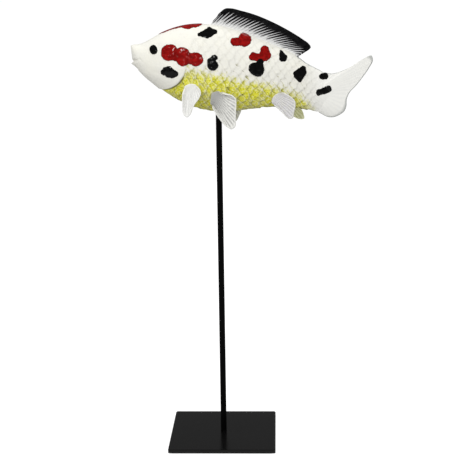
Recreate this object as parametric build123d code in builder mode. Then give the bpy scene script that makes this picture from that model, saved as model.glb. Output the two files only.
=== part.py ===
"""A painted koi carried on a slim rod that stands on a square steel plate.

Frame: +Z up, the koi faces -X, and the origin is under the middle of the plate, on the face it rests on.
The koi is a hollow casting in two halves with separately cast fins. It drops over the top of the rod,
where a nylon cap lets it turn, and it lifts off again.
"""

import os
from math import cos, pi, radians, sin, tan
from typing import NamedTuple

from build123d import *

# Stand: plate, felt, screw and rod
plate_side = 150.0
plate_thickness = 5.0
plate_corner_radius = 3.0
plate_edge_chamfer = 0.6
felt_thickness = 1.5
felt_inset = 3.0
rod_diameter = 8.4
rod_exposed = 463.0
rod_end_chamfer = 0.6
screw_diameter = 5.0
screw_head_diameter = 10.0
screw_grip = 12.0
screw_socket_across = 3.0
screw_socket_depth = 2.0
screw_head_sink = 0.3
screw_hole_clearance = 0.2
screw_head_angle = 90.0
thread_clearance = 0.05

# Swivel at the top of the rod
socket_depth = 52.0
cap_length = 14.0
cap_crown = 4.0
spigot_diameter = 4.0
running_clearance = 0.05
sleeve_wall = 1.8
sleeve_crown = 3.0
sleeve_recess = 1.0
boss_wall = 4.0
bond_clearance = 0.05
glue_line = 0.2

# Body of the koi
body_length = 258.0
body_depth = 118.6
body_width = 74.0
snout_reach = 118.0
body_wall = 5.0
body_facets = 12
hollow_facets = 6
widest_share = 0.46

# Along the body from the snout, then the top and bottom of the section, then its width
body_section_shares = (
    (0.000, 0.760, 0.570, 0.20),
    (0.019, 0.780, 0.527, 0.35),
    (0.055, 0.790, 0.458, 0.50),
    (0.108, 0.843, 0.356, 0.66),
    (0.186, 0.927, 0.220, 0.84),
    (0.283, 0.986, 0.093, 0.96),
    (0.388, 0.999, 0.019, 1.00),
    (0.504, 0.961, 0.001, 0.97),
    (0.632, 0.864, 0.025, 0.88),
    (0.748, 0.759, 0.045, 0.73),
    (0.845, 0.668, 0.034, 0.57),
    (0.884, 0.610, 0.021, 0.48),
    (0.930, 0.527, 0.002, 0.38),
    (1.000, 0.447, -0.017, 0.23),
)
gill_rows_shares = body_section_shares[2:6]
hollow_rows_shares = body_section_shares[4:11:2]

# Head: gill cover, eye and mouth
gill_radius = 29.0
gill_reach_share = 0.166
gill_level_share = 0.510
gill_step = 1.4
gill_root_sink = 1.2
eye_radius = 6.0
eye_rise = 1.3
eye_seat = 3.0
eye_along_share = 0.127
eye_level_share = 0.726
eye_turn = 24.0
eye_tip = 20.0
eye_pole_turn = 90.0
mouth_length = 14.0
mouth_gape = 6.0
mouth_level_share = 0.604
mouth_droop = 1.5

# Dorsal fin: a wedge of a blade with raised rays, on a tongue in the ridge of the back
dorsal_length = 136.0
dorsal_rise = 62.0
dorsal_start = -9.8
dorsal_low = 76.9
dorsal_root_thickness = 6.4
dorsal_edge_thickness = 2.4
dorsal_blade_height = 50.0
dorsal_embed = 2.0
dorsal_rim = 1.6
tongue_thickness = 3.0
tongue_depth = 3.2
tongue_rise = 3.0
tongue_start_share = 0.10
tongue_end_share = 0.82
ray_count = 30
ray_width = 1.5
ray_thickness = 4.4
ray_first_share = 0.05
ray_last_share = 0.84
ray_steep = 43.0
ray_shallow = 11.0
ray_turn_power = 1.6

# Along the dorsal fin and up it: its upper edge from the front, then its free lower edge behind
dorsal_edge_shares = (
    (0.000, 0.650),
    (0.060, 0.812),
    (0.121, 0.945),
    (0.200, 0.998),
    (0.328, 0.935),
    (0.515, 0.803),
    (0.722, 0.582),
    (0.920, 0.325),
    (0.995, 0.205),
)
dorsal_overhang_shares = ((0.985, 0.110), (0.925, 0.020), (0.870, 0.000))

# Tail fin: a bent blade with a tenon that fills a pocket in the end of the body
tail_length = 79.0
tail_height = 85.0
tail_low = -9.5
tail_root_overlap = 10.0
tail_root_thickness = 13.0
tail_waist_thickness = 6.0
tail_edge_thickness = 2.6
tail_bend = 15.0
tail_waist_bend = 3.5
tenon_length = 16.0
tenon_height = 26.0
tenon_thickness = 7.0
tenon_corner = 2.0

# Along the tail fin and up it, from the top of the root round both lobes to the foot of the root
tail_edge_shares = (
    (0.000, 0.700),
    (0.260, 0.712),
    (0.456, 0.744),
    (0.730, 0.878),
    (0.935, 0.992),
    (0.996, 0.965),
    (0.970, 0.866),
    (0.830, 0.645),
    (0.660, 0.440),
    (0.565, 0.310),
    (0.560, 0.165),
    (0.470, 0.055),
    (0.335, 0.003),
    (0.215, 0.010),
    (0.110, 0.070),
    (0.055, 0.108),
    (0.000, 0.150),
)

# Paired fins
fin_thickness = 3.2
fin_fold_share = 0.16
peg_side = 3.8
peg_length = 12.0
peg_clearance = 0.1

# One overrun serves every cut
overrun = 10.0


class PairedFin(NamedTuple):
    """One fin of a pair, as it hangs on the left flank.

    Its blade is folded twice along its length. front and top place its box on the side of the fish, out is
    how far its middle stands from the middle of the fish, splay swings its rear edge out, lean swings its
    tip out, and scoop is how far its edges stand out past its middle. The right-hand fin sits further back
    by its setback.
    """

    name: str
    front: float
    top: float
    span: float
    drop: float
    out: float
    splay: float
    lean: float
    scoop: float
    right_setback: float
    peg_along_share: float
    peg_drop_share: float
    outline_shares: tuple


pectoral = PairedFin(
    name="pectoral_fin",
    front=-46.8,
    top=41.5,
    span=25.3,
    drop=44.5,
    out=37.6,
    splay=9.0,
    lean=8.0,
    scoop=2.0,
    right_setback=3.0,
    peg_along_share=0.42,
    peg_drop_share=0.16,
    outline_shares=(
        (0.12, 0.10),
        (0.45, 0.00),
        (0.88, 0.12),
        (1.00, 0.27),
        (0.90, 0.43),
        (0.66, 0.62),
        (0.43, 0.86),
        (0.26, 1.00),
        (0.06, 0.90),
        (0.00, 0.52),
    ),
)

pelvic = PairedFin(
    name="pelvic_fin",
    front=-8.5,
    top=30.8,
    span=33.8,
    drop=50.4,
    out=36.0,
    splay=12.0,
    lean=6.0,
    scoop=2.4,
    right_setback=7.0,
    peg_along_share=0.28,
    peg_drop_share=0.12,
    outline_shares=(
        (0.00, 0.10),
        (0.07, 0.01),
        (0.22, 0.01),
        (0.58, 0.07),
        (0.92, 0.13),
        (0.99, 0.20),
        (1.00, 0.34),
        (0.98, 0.62),
        (0.95, 0.90),
        (0.80, 1.00),
        (0.62, 0.94),
        (0.25, 0.62),
    ),
)

anal = PairedFin(
    name="anal_fin",
    front=73.0,
    top=27.9,
    span=32.8,
    drop=35.7,
    out=24.6,
    splay=17.0,
    lean=6.0,
    scoop=-2.0,
    right_setback=8.0,
    peg_along_share=0.22,
    peg_drop_share=0.24,
    outline_shares=(
        (0.04, 0.45),
        (0.00, 0.28),
        (0.12, 0.09),
        (0.37, 0.00),
        (0.66, 0.10),
        (0.96, 0.32),
        (0.98, 0.50),
        (0.93, 0.72),
        (0.84, 0.92),
        (0.76, 1.00),
        (0.65, 0.94),
        (0.34, 0.65),
    ),
)

paired_fins = (pectoral, pelvic, anal)

# Sizes worked out from the values above
plate_top = felt_thickness + plate_thickness
belly_level = plate_top + rod_exposed
socket_top = belly_level + socket_depth
cap_base = socket_top - cap_length
spigot_length = cap_length - cap_crown
sleeve_bore = rod_diameter + 2 * running_clearance
sleeve_diameter = sleeve_bore + 2 * sleeve_wall
sleeve_base = belly_level + sleeve_recess
sleeve_top = socket_top + sleeve_crown
boss_diameter = sleeve_diameter + 2 * boss_wall
boss_base = belly_level + body_wall
body_half_width = body_width / 2


def along(share):
    """X of a place along the body, as a share of its length from the snout."""
    return share * body_length - snout_reach


def level(share):
    """Z of a place up the body, as a share of its depth above the belly."""
    return belly_level + share * body_depth


def section_between(share):
    """Shares of the section at a place along the body, between the two nearest rows."""
    for before, after in zip(body_section_shares, body_section_shares[1:]):
        if share <= after[0]:
            part = (share - before[0]) / (after[0] - before[0])
            return tuple(low + part * (high - low) for low, high in zip(before, after))
    return body_section_shares[-1]


def back_level(x):
    """Z of the ridge of the back at x."""
    return level(section_between((x + snout_reach) / body_length)[1])


def arc_chain(points):
    """Arcs end to end, each through three of the points."""
    for start, middle, end in zip(points[::2], points[1::2], points[2::2]):
        ThreePointArc(start, middle, end)


def left_section(shares, grow, facets):
    """Egg-shaped left half of a section across the body, grown all round, with flat facets."""
    top = level(shares[1]) + grow
    bottom = level(shares[2]) - grow
    half_width = shares[3] * body_half_width + grow
    widest = bottom + widest_share * (top - bottom)
    corners = []
    for step in range(facets + 1):
        turn = pi * step / facets
        reach = top - widest if step < facets / 2 else widest - bottom
        corners.append((-half_width * sin(turn), widest + reach * cos(turn)))
    with BuildSketch(Plane.YZ.offset(along(shares[0]))) as section:
        Polygon(*corners, align=None)
    return section.sketch


# Outer form of the left half
with BuildPart() as left_form:
    loft(sections=[left_section(row, 0, body_facets) for row in body_section_shares])

# The outer form grown by the glue line, which the fins are trimmed to
with BuildPart() as left_seat:
    loft(sections=[left_section(row, glue_line, body_facets) for row in body_section_shares])

with BuildPart() as whole_seat:
    add(left_seat.part)
    mirror(about=Plane.XZ)

# Inside of the left half, a wall's thickness in from the outside
with BuildPart() as left_hollow:
    loft(sections=[left_section(row, -body_wall, hollow_facets) for row in hollow_rows_shares], ruled=True)


def gill_grow(share):
    """How far the gill cover stands off the cheek: sunk in front, a step behind."""
    first, last = gill_rows_shares[0][0], gill_rows_shares[-1][0]
    return (share - first) / (last - first) * (gill_step + gill_root_sink) - gill_root_sink


# Gill cover: a round plate that rises out of the cheek and ends in a step behind
with BuildPart() as gill_cover:
    loft(sections=[left_section(row, gill_grow(row[0]), body_facets) for row in gill_rows_shares])
    with BuildSketch(Plane.XZ):
        with Locations((along(gill_reach_share), level(gill_level_share))):
            Circle(gill_radius)
    extrude(amount=body_width, mode=Mode.INTERSECT)

# Eye: a shallow dome on the cheek
eye_row = section_between(eye_along_share)
eye_top, eye_bottom = level(eye_row[1]), level(eye_row[2])
eye_widest = eye_bottom + widest_share * (eye_top - eye_bottom)
eye_up = (level(eye_level_share) - eye_widest) / (eye_top - eye_widest)
eye_out = eye_row[3] * body_half_width * (1 - eye_up**2) ** 0.5
eye_turn_cos, eye_tip_cos = cos(radians(eye_turn)), cos(radians(eye_tip))
eye_plane = Plane(
    origin=(along(eye_along_share), -eye_out, level(eye_level_share)),
    z_dir=(-sin(radians(eye_turn)), -eye_turn_cos * eye_tip_cos, sin(radians(eye_tip))),
)
eye_dome_radius = (eye_radius**2 + eye_rise**2) / (2 * eye_rise)
with BuildPart() as eye_dome:
    with BuildSketch(eye_plane.offset(-eye_seat)):
        Circle(eye_radius)
    extrude(amount=eye_seat + eye_rise)
    with Locations(eye_plane.offset(eye_rise - eye_dome_radius).location):
        Sphere(eye_dome_radius, rotation=(eye_pole_turn, 0, 0), mode=Mode.INTERSECT)


def fin_point(fin, setback, along_share, drop_share):
    """X and Z of a place on the side view of a left-hand fin."""
    return (fin.front + setback + along_share * fin.span, belly_level + fin.top - drop_share * fin.drop)


def fin_peg(fin, setback, clearance):
    """Square peg that runs from the root of a left-hand fin through the wall of the body."""
    forward = (fin.peg_along_share - 1 / 2) * fin.span * tan(radians(fin.splay))
    downward = (fin.peg_drop_share - 1 / 2) * fin.drop * tan(radians(fin.lean))
    with BuildPart() as peg:
        with BuildSketch(Plane.XZ.offset(fin.out + forward + downward)):
            with Locations(fin_point(fin, setback, fin.peg_along_share, fin.peg_drop_share)):
                Rectangle(peg_side + 2 * clearance, peg_side + 2 * clearance)
        extrude(amount=-peg_length - clearance)
    return peg.part


def fin_setback(fin, side):
    """How far a fin sits behind its place on the left; side is -1 on the left and 1 on the right."""
    return fin.right_setback if side > 0 else 0


def paired_fin(fin, side):
    """Folded blade of one fin with its peg, trimmed to sit against the flank."""
    setback = fin_setback(fin, side)
    middle_x, middle_z = fin_point(fin, setback, 1 / 2, 1 / 2)
    across = Plane(
        origin=(middle_x, -fin.out, middle_z),
        x_dir=(cos(radians(fin.splay)), -sin(radians(fin.splay)), 0),
        z_dir=(0, sin(radians(fin.lean)), cos(radians(fin.lean))),
    )
    half = fin_thickness / 2
    fold = fin_fold_share * fin.span
    curl = fin.scoop * (fin.span - fold) / (fin.span / 2 - fold)
    bends = ((-fin.span, -curl), (-fold, 0), (fold, 0), (fin.span, -curl))
    with BuildPart() as blade:
        with BuildSketch(Plane.XZ):
            with BuildLine():
                round_trip = (*fin.outline_shares, fin.outline_shares[0])
                arc_chain([fin_point(fin, setback, *place) for place in round_trip])
            make_face()
        extrude(amount=body_width)
        with BuildSketch(across):
            inner = [(x, y + half) for x, y in bends]
            outer = [(x, y - half) for x, y in bends]
            Polygon(*inner, *outer[::-1], align=None)
        extrude(amount=fin.drop, both=True, mode=Mode.INTERSECT)
        add(left_seat.part, mode=Mode.SUBTRACT)
        add(fin_peg(fin, setback, 0))
        if side > 0:
            mirror(about=Plane.XZ, mode=Mode.REPLACE)
    return blade.part


def tongue(clearance):
    """Tongue of the dorsal fin that fills a slot along the ridge of the back."""
    start = dorsal_start + tongue_start_share * dorsal_length - clearance
    end = dorsal_start + tongue_end_share * dorsal_length + clearance
    between = [along(row[0]) for row in body_section_shares if start < along(row[0]) < end]
    stations = [start, *between, end]
    lower = [(x, back_level(x) - tongue_depth - clearance) for x in stations]
    upper = [(x, back_level(x) + tongue_rise + clearance) for x in stations]
    with BuildPart() as key:
        with BuildSketch(Plane.XZ):
            Polygon(*lower, *upper[::-1], align=None)
        extrude(amount=tongue_thickness / 2 + clearance, both=True)
    return key.part


def tenon(clearance):
    """Tenon of the tail fin inside the end of the body."""
    end_row = body_section_shares[-1]
    thickness, height = tenon_thickness + 2 * clearance, tenon_height + 2 * clearance
    with BuildPart() as key:
        with BuildSketch(Plane.YZ.offset(along(1) - tenon_length - clearance)):
            with Locations((0, level((end_row[1] + end_row[2]) / 2))):
                RectangleRounded(thickness, height, tenon_corner + clearance)
        extrude(amount=tenon_length + tail_root_overlap + clearance)
    return key.part


def body_half(side):
    """One hollow half of the body, with its gill cover, eye, mouth, rod boss and seats for the fins."""
    mouth_z = level(mouth_level_share)
    with BuildPart() as half:
        add(left_form.part)
        add(gill_cover.part)
        add(eye_dome.part)
        add(left_hollow.part, mode=Mode.SUBTRACT)
        with BuildSketch(Plane.XY.offset(boss_base)):
            Circle(boss_diameter / 2)
            with Locations((0, boss_diameter / 2)):
                Rectangle(boss_diameter, boss_diameter, mode=Mode.SUBTRACT)
        extrude(amount=sleeve_top + boss_wall - boss_base)
        with BuildSketch(Plane.XZ):
            Polygon(
                (-snout_reach - overrun, mouth_z - mouth_gape / 2 - mouth_droop),
                (-snout_reach - overrun, mouth_z + mouth_gape / 2),
                (-snout_reach + mouth_length, mouth_z),
                align=None,
            )
        extrude(amount=body_width, mode=Mode.SUBTRACT)
        for fin in paired_fins:
            add(fin_peg(fin, fin_setback(fin, side), peg_clearance), mode=Mode.SUBTRACT)
        if side > 0:
            mirror(about=Plane.XZ, mode=Mode.REPLACE)
        with Locations((0, 0, belly_level - overrun)):
            Cylinder(
                sleeve_diameter / 2 + bond_clearance,
                sleeve_top - belly_level + overrun + bond_clearance,
                align=(Align.CENTER, Align.CENTER, Align.MIN),
                mode=Mode.SUBTRACT,
            )
        add(tongue(bond_clearance), mode=Mode.SUBTRACT)
        add(tenon(bond_clearance), mode=Mode.SUBTRACT)
    return half.part


os.makedirs("parts", exist_ok=True)


def finish(part, name):
    """Label a finished piece and write it out."""
    part.label = name
    export_step(part, f"parts/{name}.step")


# Steel plate with a countersunk hole from below
with BuildPart() as base_plate:
    with BuildSketch(Plane.XY.offset(felt_thickness)):
        RectangleRounded(plate_side, plate_side, plate_corner_radius)
    extrude(amount=plate_thickness)
    chamfer(base_plate.faces().sort_by(Axis.Z)[-1].edges(), plate_edge_chamfer)
    with Locations(Plane(origin=(0, 0, felt_thickness), z_dir=(0, 0, -1))):
        CounterSinkHole(
            screw_diameter / 2 + screw_hole_clearance,
            screw_head_diameter / 2 + screw_hole_clearance + screw_head_sink,
            depth=plate_thickness,
            counter_sink_angle=screw_head_angle,
        )
finish(base_plate.part, "base_plate")

# Felt sheet that hides the screw and protects the table
with BuildPart() as base_felt:
    with BuildSketch():
        RectangleRounded(plate_side - 2 * felt_inset, plate_side - 2 * felt_inset, plate_corner_radius)
    extrude(amount=felt_thickness)
finish(base_felt.part, "base_felt")

# Countersunk screw from below into the rod
screw_low = felt_thickness + screw_head_sink
screw_cone = (screw_head_diameter - screw_diameter) / 2 / tan(radians(screw_head_angle / 2))
with BuildPart() as base_screw:
    with BuildSketch(Plane.XZ):
        Polygon(
            (0, screw_low),
            (screw_head_diameter / 2, screw_low),
            (screw_diameter / 2, screw_low + screw_cone),
            (screw_diameter / 2, plate_top + screw_grip),
            (0, plate_top + screw_grip),
            align=None,
        )
    revolve(axis=Axis.Z)
    with BuildSketch(Plane.XY.offset(screw_low)):
        RegularPolygon(screw_socket_across / 2, 6, major_radius=False)
    extrude(amount=screw_socket_depth, mode=Mode.SUBTRACT)
finish(base_screw.part, "base_screw")

# Rod with a tapped foot and a spigot for the cap
with BuildPart() as stand_rod:
    with BuildSketch(Plane.XY.offset(plate_top)):
        Circle(rod_diameter / 2)
    extrude(amount=cap_base - plate_top)
    chamfer(stand_rod.faces().sort_by(Axis.Z)[-1].edges(), rod_end_chamfer)
    with BuildSketch(Plane.XY.offset(cap_base)):
        Circle(spigot_diameter / 2)
    extrude(amount=spigot_length - running_clearance)
    with BuildSketch(Plane.XY.offset(plate_top)):
        Circle(screw_diameter / 2 + thread_clearance)
    extrude(amount=screw_grip + screw_diameter / 2, mode=Mode.SUBTRACT)
finish(stand_rod.part, "stand_rod")

# Nylon cap that turns on the spigot and carries the koi
with BuildPart() as swivel_cap:
    with BuildSketch(Plane.XY.offset(cap_base)):
        Circle(rod_diameter / 2)
        Circle(spigot_diameter / 2 + running_clearance, mode=Mode.SUBTRACT)
    extrude(amount=spigot_length)
    with BuildSketch(Plane.XY.offset(cap_base + spigot_length)):
        Circle(rod_diameter / 2)
    extrude(amount=cap_crown)
    chamfer(swivel_cap.faces().sort_by(Axis.Z)[-1].edges(), rod_end_chamfer)
finish(swivel_cap.part, "swivel_cap")

# Steel sleeve bonded into the belly, closed at the top
with BuildPart() as socket_sleeve:
    with BuildSketch(Plane.XY.offset(sleeve_base)):
        Circle(sleeve_diameter / 2)
    extrude(amount=sleeve_top - sleeve_base)
    with BuildSketch(Plane.XY.offset(sleeve_base)):
        Circle(sleeve_bore / 2)
    extrude(amount=socket_top - sleeve_base, mode=Mode.SUBTRACT)
finish(socket_sleeve.part, "socket_sleeve")

# The two halves of the body
finish(body_half(-1), "body_left")
finish(body_half(1), "body_right")


def dorsal_point(along_share, up_share, inset):
    """X and Z of a place on the side view of the dorsal fin, lowered by an inset."""
    x = dorsal_start + along_share * dorsal_length
    return (x, belly_level + dorsal_low + up_share * dorsal_rise - inset)


def dorsal_outline(inset):
    """Side view of the dorsal fin, drawn in by an inset along its edges, with its foot inside the back."""
    leave_x = dorsal_start + ray_last_share * dorsal_length
    between = [along(row[0]) for row in body_section_shares if dorsal_start < along(row[0]) < leave_x]
    foot = [(x, back_level(x) - dorsal_embed) for x in (leave_x, *between[::-1], dorsal_start)]
    with BuildSketch(Plane.XZ) as outline:
        with BuildLine():
            edge = Spline(*[dorsal_point(*place, inset) for place in dorsal_edge_shares])
            Polyline(
                edge @ 1,
                *[dorsal_point(*place, -inset) for place in dorsal_overhang_shares],
                *foot,
                edge @ 0,
            )
        make_face()
    return outline.sketch


# Dorsal fin: thick at its foot, thin at its edge, with rays that sink into the blade towards the back
dorsal_end = dorsal_start + dorsal_length
dorsal_foot = Vector(dorsal_start, 0, back_level(dorsal_start))
dorsal_run = Vector(dorsal_end, 0, back_level(dorsal_end)) - dorsal_foot
ray_reach = dorsal_rise
with BuildPart() as dorsal_fin:
    with BuildSketch(Plane(origin=dorsal_foot, x_dir=(0, 1, 0), z_dir=dorsal_run)):
        Polygon(
            (-dorsal_root_thickness / 2, -overrun),
            (dorsal_root_thickness / 2, -overrun),
            (dorsal_root_thickness / 2, 0),
            (dorsal_edge_thickness / 2, dorsal_blade_height),
            (-dorsal_edge_thickness / 2, dorsal_blade_height),
            (-dorsal_root_thickness / 2, 0),
            align=None,
        )
    extrude(amount=dorsal_length * 2, both=True)
    extrude(dorsal_outline(0), amount=body_width, both=True, mode=Mode.INTERSECT)
    with BuildSketch(Plane.XZ):
        for index in range(ray_count):
            turn = index / (ray_count - 1)
            foot_share = ray_first_share + turn * (ray_last_share - ray_first_share)
            angle = ray_steep - (ray_steep - ray_shallow) * turn**ray_turn_power
            foot_x = dorsal_start + foot_share * dorsal_length
            middle_x = foot_x + ray_reach / 2 * cos(radians(angle))
            middle_z = back_level(foot_x) + ray_reach / 2 * sin(radians(angle))
            with Locations((middle_x, middle_z)):
                Rectangle(ray_reach, ray_width, rotation=angle)
        add(dorsal_outline(dorsal_rim), mode=Mode.INTERSECT)
    extrude(amount=ray_thickness / 2, both=True)
    add(whole_seat.part, mode=Mode.SUBTRACT)
    add(tongue(0))
finish(dorsal_fin.part, "dorsal_fin")

# Tail fin: seen from above it thins and bends to the left, and its side view has two lobes
tail_start = along(1) - tail_root_overlap
tail_end = tail_start + tail_length
tail_waist = tail_start + tail_length / 2
with BuildPart() as tail_fin:
    with BuildSketch(Plane.XZ):
        with BuildLine():
            tail_edge = [
                (tail_start + forward * tail_length, belly_level + tail_low + up * tail_height)
                for forward, up in tail_edge_shares
            ]
            arc_chain(tail_edge)
            Line(tail_edge[-1], tail_edge[0])
        make_face()
    extrude(amount=body_width, both=True)
    with BuildSketch(Plane.XY.offset(belly_level + tail_low - overrun)):
        with BuildLine():
            ThreePointArc(
                (tail_start, tail_root_thickness / 2),
                (tail_waist, tail_waist_thickness / 2 - tail_waist_bend),
                (tail_end, tail_edge_thickness / 2 - tail_bend),
            )
            Line(
                (tail_end, tail_edge_thickness / 2 - tail_bend),
                (tail_end, -tail_edge_thickness / 2 - tail_bend),
            )
            ThreePointArc(
                (tail_end, -tail_edge_thickness / 2 - tail_bend),
                (tail_waist, -tail_waist_thickness / 2 - tail_waist_bend),
                (tail_start, -tail_root_thickness / 2),
            )
            Line((tail_start, -tail_root_thickness / 2), (tail_start, tail_root_thickness / 2))
        make_face()
    extrude(amount=tail_height + 2 * overrun, mode=Mode.INTERSECT)
    add(whole_seat.part, mode=Mode.SUBTRACT)
    add(tenon(0))
finish(tail_fin.part, "tail_fin")

# Paired fins on both flanks
for fin in paired_fins:
    for side, hand in ((-1, "left"), (1, "right")):
        finish(paired_fin(fin, side), f"{fin.name}_{hand}")
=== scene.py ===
"""Looks of a painted koi that turns on a slim rod above a square plate.

The koi's skin, its fins and its paint are modelled here in metres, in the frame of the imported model.
The stand and the hidden fittings keep their own meshes and are only dressed.
"""

import logging
import math
from dataclasses import dataclass, field
from enum import Enum
from typing import Any, Callable, Sequence

import bpy
import numpy as np
from mathutils import Matrix, Vector


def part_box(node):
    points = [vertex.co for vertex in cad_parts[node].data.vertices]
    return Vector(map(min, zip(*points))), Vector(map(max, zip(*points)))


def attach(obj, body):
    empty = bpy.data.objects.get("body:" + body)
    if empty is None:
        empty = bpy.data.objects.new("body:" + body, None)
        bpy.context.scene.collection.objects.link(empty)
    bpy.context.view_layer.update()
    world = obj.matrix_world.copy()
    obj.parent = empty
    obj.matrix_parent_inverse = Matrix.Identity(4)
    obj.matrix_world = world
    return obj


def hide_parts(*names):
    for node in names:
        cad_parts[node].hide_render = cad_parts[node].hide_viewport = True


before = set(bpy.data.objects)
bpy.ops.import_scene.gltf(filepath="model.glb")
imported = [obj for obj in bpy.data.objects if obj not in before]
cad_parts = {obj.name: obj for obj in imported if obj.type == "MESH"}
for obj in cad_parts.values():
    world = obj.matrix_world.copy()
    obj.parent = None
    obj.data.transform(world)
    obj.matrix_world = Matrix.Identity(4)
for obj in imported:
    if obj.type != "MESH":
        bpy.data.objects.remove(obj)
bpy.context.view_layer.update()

LOG = logging.getLogger("koi")
MM = 0.001
TINY = 1e-12
FULL_TURN = 2 * math.pi
PAINT_REACH = 12 * MM
KOI_MIDDLE = 530 * MM
SPOT_EDGE = 0.5
ENAMEL_SPAN = (0.47, 0.60)

Shares = Sequence[tuple[float, ...]]
Pair = tuple[float, float]
Points = Sequence[Pair]
Colour = tuple[float, float, float, float]
Value = Any
WHITE: Colour = (1, 1, 1, 1)


class Side(Enum):
    """The face of the koi that a dab of paint lies on."""

    LEFT = -1
    RIGHT = 1
    TOP = 0


class Pigment(Enum):
    """The enamels that the spots are painted with, named after the attribute that carries them."""

    RED = "red_paint"
    BLACK = "black_paint"


class Hand(Enum):
    """The two fins of a pair."""

    LEFT = "left"
    RIGHT = "right"


def smooth_rows(knots: np.ndarray, rows: np.ndarray, at: np.ndarray) -> np.ndarray:
    """Read rows of numbers between their knots on a smooth curve.

    Args:
        knots: Rising places of the rows.
        rows: One row of numbers for each knot.
        at: Places to read.

    Returns:
        One row for each place.
    """
    slopes = np.gradient(rows, knots, axis=0)
    index = np.clip(np.searchsorted(knots, at) - 1, 0, len(knots) - 2)
    step = (knots[index + 1] - knots[index])[:, None]
    t = (at - knots[index])[:, None] / step
    rise = t * t * (3 - 2 * t)
    leave = t * (1 - t) ** 2 * step
    arrive = t * t * (t - 1) * step
    ends = (1 - rise) * rows[index] + rise * rows[index + 1]
    return ends + leave * slopes[index] + arrive * slopes[index + 1]


def smooth_line(points: np.ndarray, shares: np.ndarray, fineness: int = 40) -> np.ndarray:
    """Read a smooth curve through points at shares of its length.

    Args:
        points: Points that the curve goes through.
        shares: Places along it, from 0 to 1.
        fineness: Steps between two points when the length is measured.

    Returns:
        One point for each share.
    """
    points = np.asarray(points, float)
    knots = np.concatenate([[0], np.cumsum(np.linalg.norm(np.diff(points, axis=0), axis=1))])
    fine = np.linspace(0, knots[-1], fineness * len(points))
    dense = smooth_rows(knots, points, fine)
    run = np.concatenate([[0], np.cumsum(np.linalg.norm(np.diff(dense, axis=0), axis=1))])
    return smooth_rows(knots, points, np.interp(shares * run[-1], run, fine))


def smooth_step(low: float, high: float, value: np.ndarray) -> np.ndarray:
    """Ease from 0 at low to 1 at high."""
    t = np.clip((value - low) / (high - low), 0, 1)
    return t * t * (3 - 2 * t)


def bunched(count: int, bunching: float) -> np.ndarray:
    """Shares from 0 to 1 that lie closer together near both ends."""
    even = np.linspace(0, 1, count)
    return (1 - bunching) * even + bunching * (0.5 - 0.5 * np.cos(math.pi * even))


@dataclass
class Shell:
    """A closed skin of quads with numbers carried on its points."""

    points: np.ndarray
    faces: list[tuple[int, ...]]
    carried: dict[str, np.ndarray] = field(default_factory=dict)

    def turned_out(self) -> list[tuple[int, ...]]:
        """Turn the faces round if they enclose a negative volume.

        Returns:
            The faces, seen from outside.
        """
        corners = np.array([face[:3] for face in self.faces])
        a, b, c = (self.points[corners[:, i]] for i in range(3))
        inside = np.einsum("ij,ij->i", a - self.points.mean(0), np.cross(b - a, c - a)).sum()
        return self.faces if inside > 0 else [face[::-1] for face in self.faces]

    def to_object(self, name: str) -> bpy.types.Object:
        """Make a smooth mesh object at the origin.

        Args:
            name: Name of the piece.

        Returns:
            The linked object.
        """
        mesh = bpy.data.meshes.new(name)
        mesh.from_pydata(self.points.tolist(), [], self.turned_out())
        for key, values in self.carried.items():
            mesh.attributes.new(key, "FLOAT", "POINT").data.foreach_set("value", values.astype(np.float32))
        mesh.shade_smooth()
        mesh.update()
        piece = bpy.data.objects.new(name, mesh)
        bpy.context.scene.collection.objects.link(piece)
        return piece


class Mixed(Enum):
    """What a Mix node mixes: its data type, the places of its inputs and that of its output."""

    NUMBER = ("FLOAT", (0, 2, 3), 0)
    COLOUR = ("RGBA", (0, 6, 7), 2)


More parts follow.
